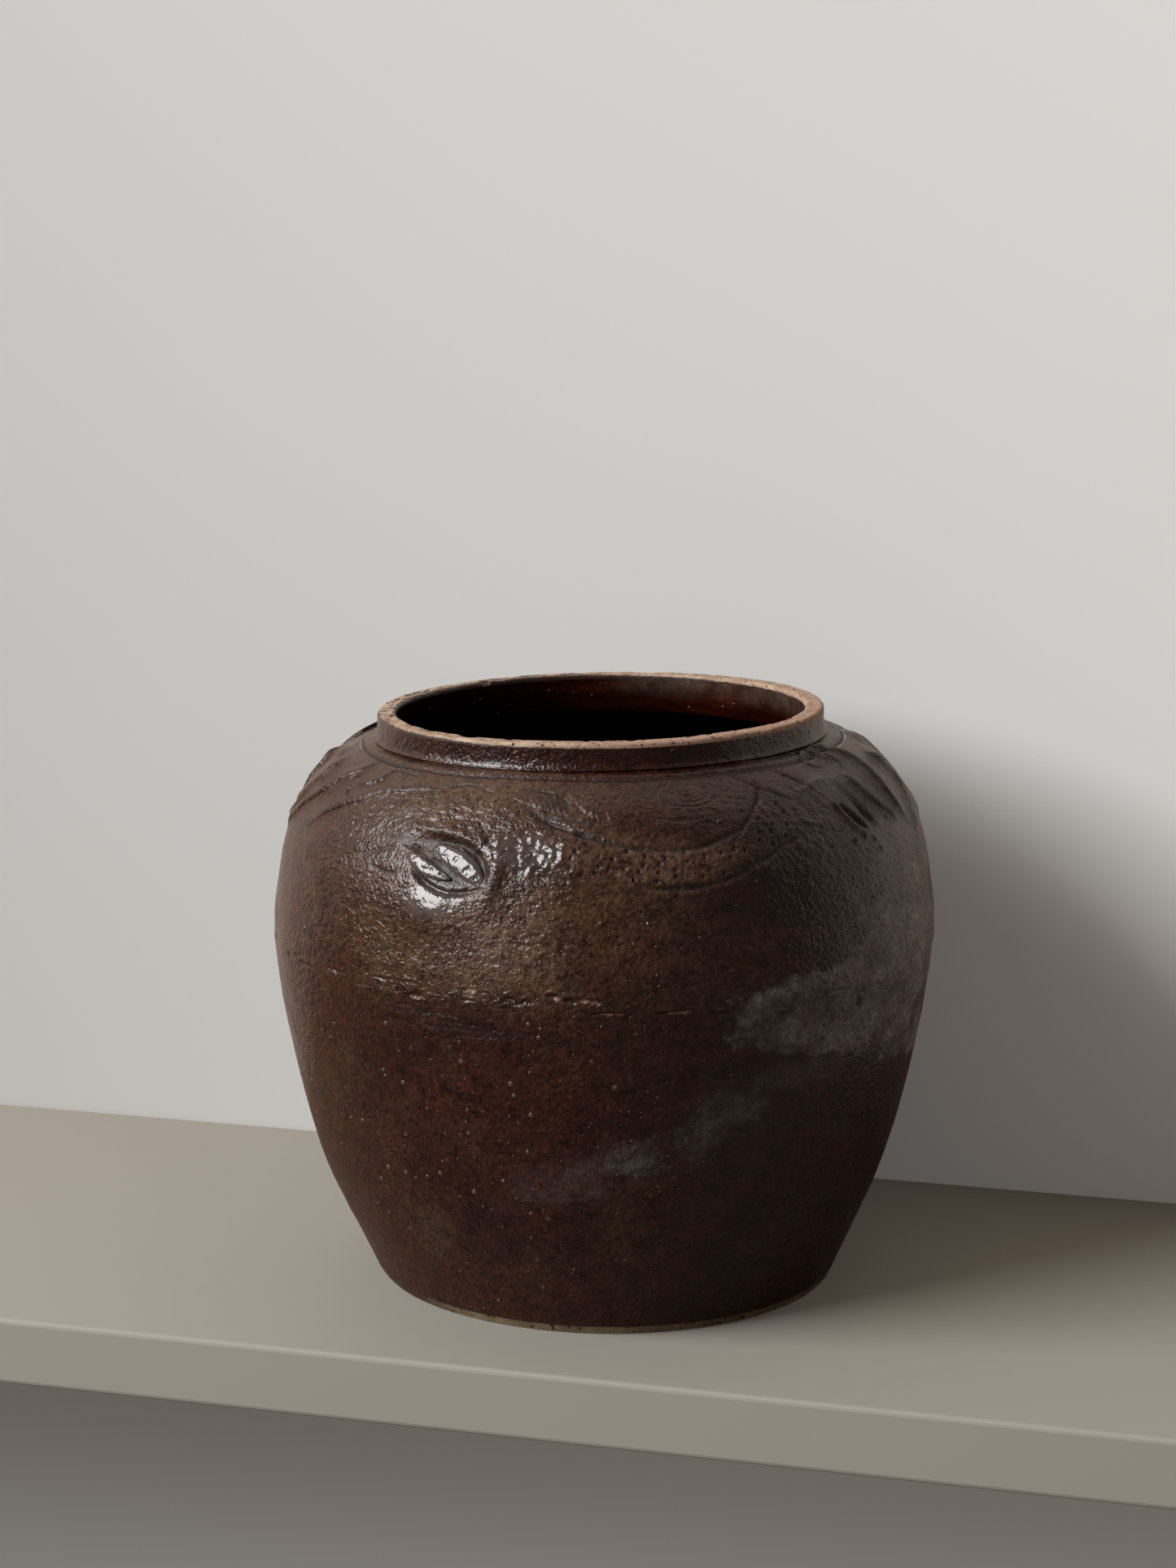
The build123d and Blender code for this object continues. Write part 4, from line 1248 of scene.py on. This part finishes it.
def bare_clay():
    """Bare clay, with glaze over its edge where the glaze ran on to it, and on the floor inside."""
    nodes = Nodes("bare_clay")
    colour = clay_colour(nodes)
    colour = nodes.mix(nodes.step(12, 8, nodes.z), colour, nodes.tinted(colour, FOOT_TAN))
    left = nodes.step(-25, -48, nodes.plus(nodes.azimuth, nodes.noise(15, shift=71), 14))
    left = nodes.times(left, nodes.step(-168, -150, nodes.azimuth))
    run_down = nodes.times(left, nodes.step(10, 8, nodes.z), nodes.rest(nodes.inside))
    ragged = nodes.plus(nodes.z, nodes.noise(5, 4, 0.6, shift=73), 1.6)
    coarse = nodes.plus(ragged, nodes.noise(30, shift=77), 1.6)
    on_lip = nodes.step(100, 200, nodes.z)
    smear = nodes.times(nodes.step(232.3, 231.5, coarse), on_lip)
    within = nodes.times(nodes.step(233.1, 232.5, ragged), on_lip, nodes.inside)
    floor = nodes.step(SLAB_TOP / MM - 1.2, SLAB_TOP / MM - 0.8, nodes.z)
    floor = nodes.times(floor, nodes.step(100, 90, nodes.z))
    glazed = nodes.most(run_down, smear, within, floor)
    colour = nodes.mix(glazed, colour, GLAZE_OVER_CLAY)
    return nodes.finished(colour, nodes.plus(0.8, glazed, -0.5), nodes.noise(0.8, 4, 0.7, shift=75), 0.25)


def fit(piece, node, material):
    """Dress a piece, let it stand for its node and ride on the jar's body."""
    piece.data.materials.append(material)
    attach(piece, "root")
    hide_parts(node)


def make_jar():
    brown, inner, clay = brown_glaze(), inner_glaze(), bare_clay()
    fit(slab_piece(), "base_slab", clay)
    fit(lower_piece(), "lower_wall", brown)
    fit(coil_piece(), "seam_coil", inner)
    fit(shoulder_piece(), "shoulder_wall", brown)
    fit(collar_piece(), "neck_collar", brown)
    fit(lip_piece(), "rim_lip", clay)
    for piece, node in make_sprigs():
        fit(piece, node, brown)


# The stage, in metres: the wall's turn from square on in degrees, its distance from the jar's axis,
# and the pale board that the jar stands on, just clear of the wall and of the foot
WALL_TURN = math.radians(-16.2)
WALL_DISTANCE = 0.1375
WALL_HALF = 4
BOARD_LENGTH, BOARD_DEPTH, BOARD_THICKNESS = 3, 0.2825, 0.027
BOARD_GAP, BOARD_DROP = 0.0005, 0.0003
BOARD_EDGE = 0.002

# Colour, roughness, colour in mirrors, glow, brightness from left to right
FLOOR_PALE = (0.37, 0.355, 0.310), 0.7, (0.20, 0.145, 0.110), 0.05, (1, 1)
# The wall's brightness from left to right is painted shade on its left and painted light on its right.
WALL_PALE = (0.74, 0.75, 0.73), 0.8, (0.76, 0.66, 0.58), 0.09, (0.76, 1.2)

# The window's light, in metres and degrees, and the room round it
LAMP_SIZE = 2.2, 1.35
LAMP_POWER = 132
LAMP_AZIMUTH, LAMP_ELEVATION, LAMP_DISTANCE, LAMP_AIM = math.radians(-60), math.radians(30), 3.0, 0.15
LAMP_DIP = math.radians(15)
ROOM_COLOUR, ROOM_STRENGTH = (1.0, 0.78, 0.65, 1), 0.135

# The camera that was fitted to the photo, in metres
LENS, SENSOR = 78.46, 36
CAMERA_PLACE = (-0.00655, -1.3726, 0.4572)
CAMERA_TILT = math.radians(79.38)


def plain_material(name, colour, rough, in_mirrors, glow, across):
    """A plain surface. Only the camera sees its glow and its colour, other rays see a second colour."""
    nodes = Nodes(name)
    seen = nodes.new("LightPath").outputs["Is Camera Ray"]
    mixed = nodes.mix(nodes.noise(400, 2, shift=81), colour, tuple(0.95 * part for part in colour))
    # Brightness scaled from left to right: on the wall, painted shade on the left and painted light on the right.
    mixed = nodes.scaled(mixed, nodes.span(nodes.x, -350, 350, *across))
    nodes.link(nodes.mix(seen, in_mirrors, mixed), nodes.shader.inputs["Base Color"])
    nodes.link(rough, nodes.shader.inputs["Roughness"])
    nodes.link(colour, nodes.shader.inputs["Emission Color"])
    nodes.link(nodes.times(seen, glow), nodes.shader.inputs["Emission Strength"])
    return nodes


def one_sided(nodes):
    """Let views from behind see through a backdrop."""
    back = nodes.new("NewGeometry").outputs["Backfacing"]
    clear = nodes.new("BsdfTransparent").outputs[0]
    mixed = nodes.new("MixShader", back, nodes.shader.outputs[0], clear)
    nodes.link(mixed.outputs[0], nodes.tree.nodes["Material Output"].inputs["Surface"])
    return nodes


def stage_piece(name, corners, faces, nodes, place, rotation):
    mesh = bpy.data.meshes.new(name)
    mesh.from_pydata(corners, [], faces)
    mesh.materials.append(nodes.material)
    piece = bpy.data.objects.new(name, mesh)
    piece.location, piece.rotation_euler = place, rotation
    bpy.context.collection.objects.link(piece)
    return piece


def make_stage():
    """A pale floor board, and a pale wall close behind the jar, both turned a little."""
    back = np.array([-math.sin(WALL_TURN), math.cos(WALL_TURN), 0])
    x, y, z = BOARD_LENGTH / 2, BOARD_DEPTH / 2, BOARD_THICKNESS
    corners = [(i * x, j * y, k) for k in (-z, 0) for j in (-1, 1) for i in (-1, 1)]
    faces = [(0, 2, 3, 1), (4, 5, 7, 6), (0, 1, 5, 4), (2, 6, 7, 3), (0, 4, 6, 2), (1, 3, 7, 5)]
    place = back * (WALL_DISTANCE - BOARD_DEPTH / 2 - BOARD_GAP) - np.array([0, 0, BOARD_DROP])
    floor_nodes = plain_material("floor_pale", *FLOOR_PALE)
    floor = stage_piece("stage_floor", corners, faces, floor_nodes, place, (0, 0, WALL_TURN))
    bevel = floor.modifiers.new("soft_edges", "BEVEL")
    bevel.width, bevel.segments = BOARD_EDGE, 3
    corners = [(i * WALL_HALF, j * WALL_HALF, 0) for i, j in ((-1, -1), (1, -1), (1, 1), (-1, 1))]
    wall_nodes = one_sided(plain_material("wall_pale", *WALL_PALE))
    upright = (math.pi / 2, 0, WALL_TURN)
    wall = stage_piece("stage_wall", corners, [(0, 1, 2, 3)], wall_nodes, back * WALL_DISTANCE, upright)


def make_light_and_camera():
    lamp = bpy.data.lights.new("window", "AREA")
    lamp.shape = "RECTANGLE"
    lamp.size, lamp.size_y = LAMP_SIZE
    lamp.energy = LAMP_POWER
    window = bpy.data.objects.new("window", lamp)
    window.location = around(LAMP_AZIMUTH, LAMP_DISTANCE * math.cos(LAMP_ELEVATION),
                             LAMP_AIM + LAMP_DISTANCE * math.sin(LAMP_ELEVATION))
    facing = Vector((math.cos(WALL_TURN), math.sin(WALL_TURN), -math.tan(LAMP_DIP)))
    window.rotation_euler = facing.to_track_quat("-Z", "Y").to_euler()
    bpy.context.collection.objects.link(window)

    world = bpy.data.worlds.new("room")
    world.use_nodes = True
    world.node_tree.nodes["Background"].inputs["Color"].default_value = ROOM_COLOUR
    world.node_tree.nodes["Background"].inputs["Strength"].default_value = ROOM_STRENGTH
    bpy.context.scene.world = world

    view = bpy.data.cameras.new("camera")
    view.lens, view.sensor_width = LENS, SENSOR
    camera = bpy.data.objects.new("camera", view)
    camera.location = CAMERA_PLACE
    camera.rotation_euler = (CAMERA_TILT, 0, 0)
    bpy.context.collection.objects.link(camera)
    bpy.context.scene.camera = camera
    bpy.context.scene.view_settings.view_transform = "Standard"


make_jar()
make_stage()
make_light_and_camera()
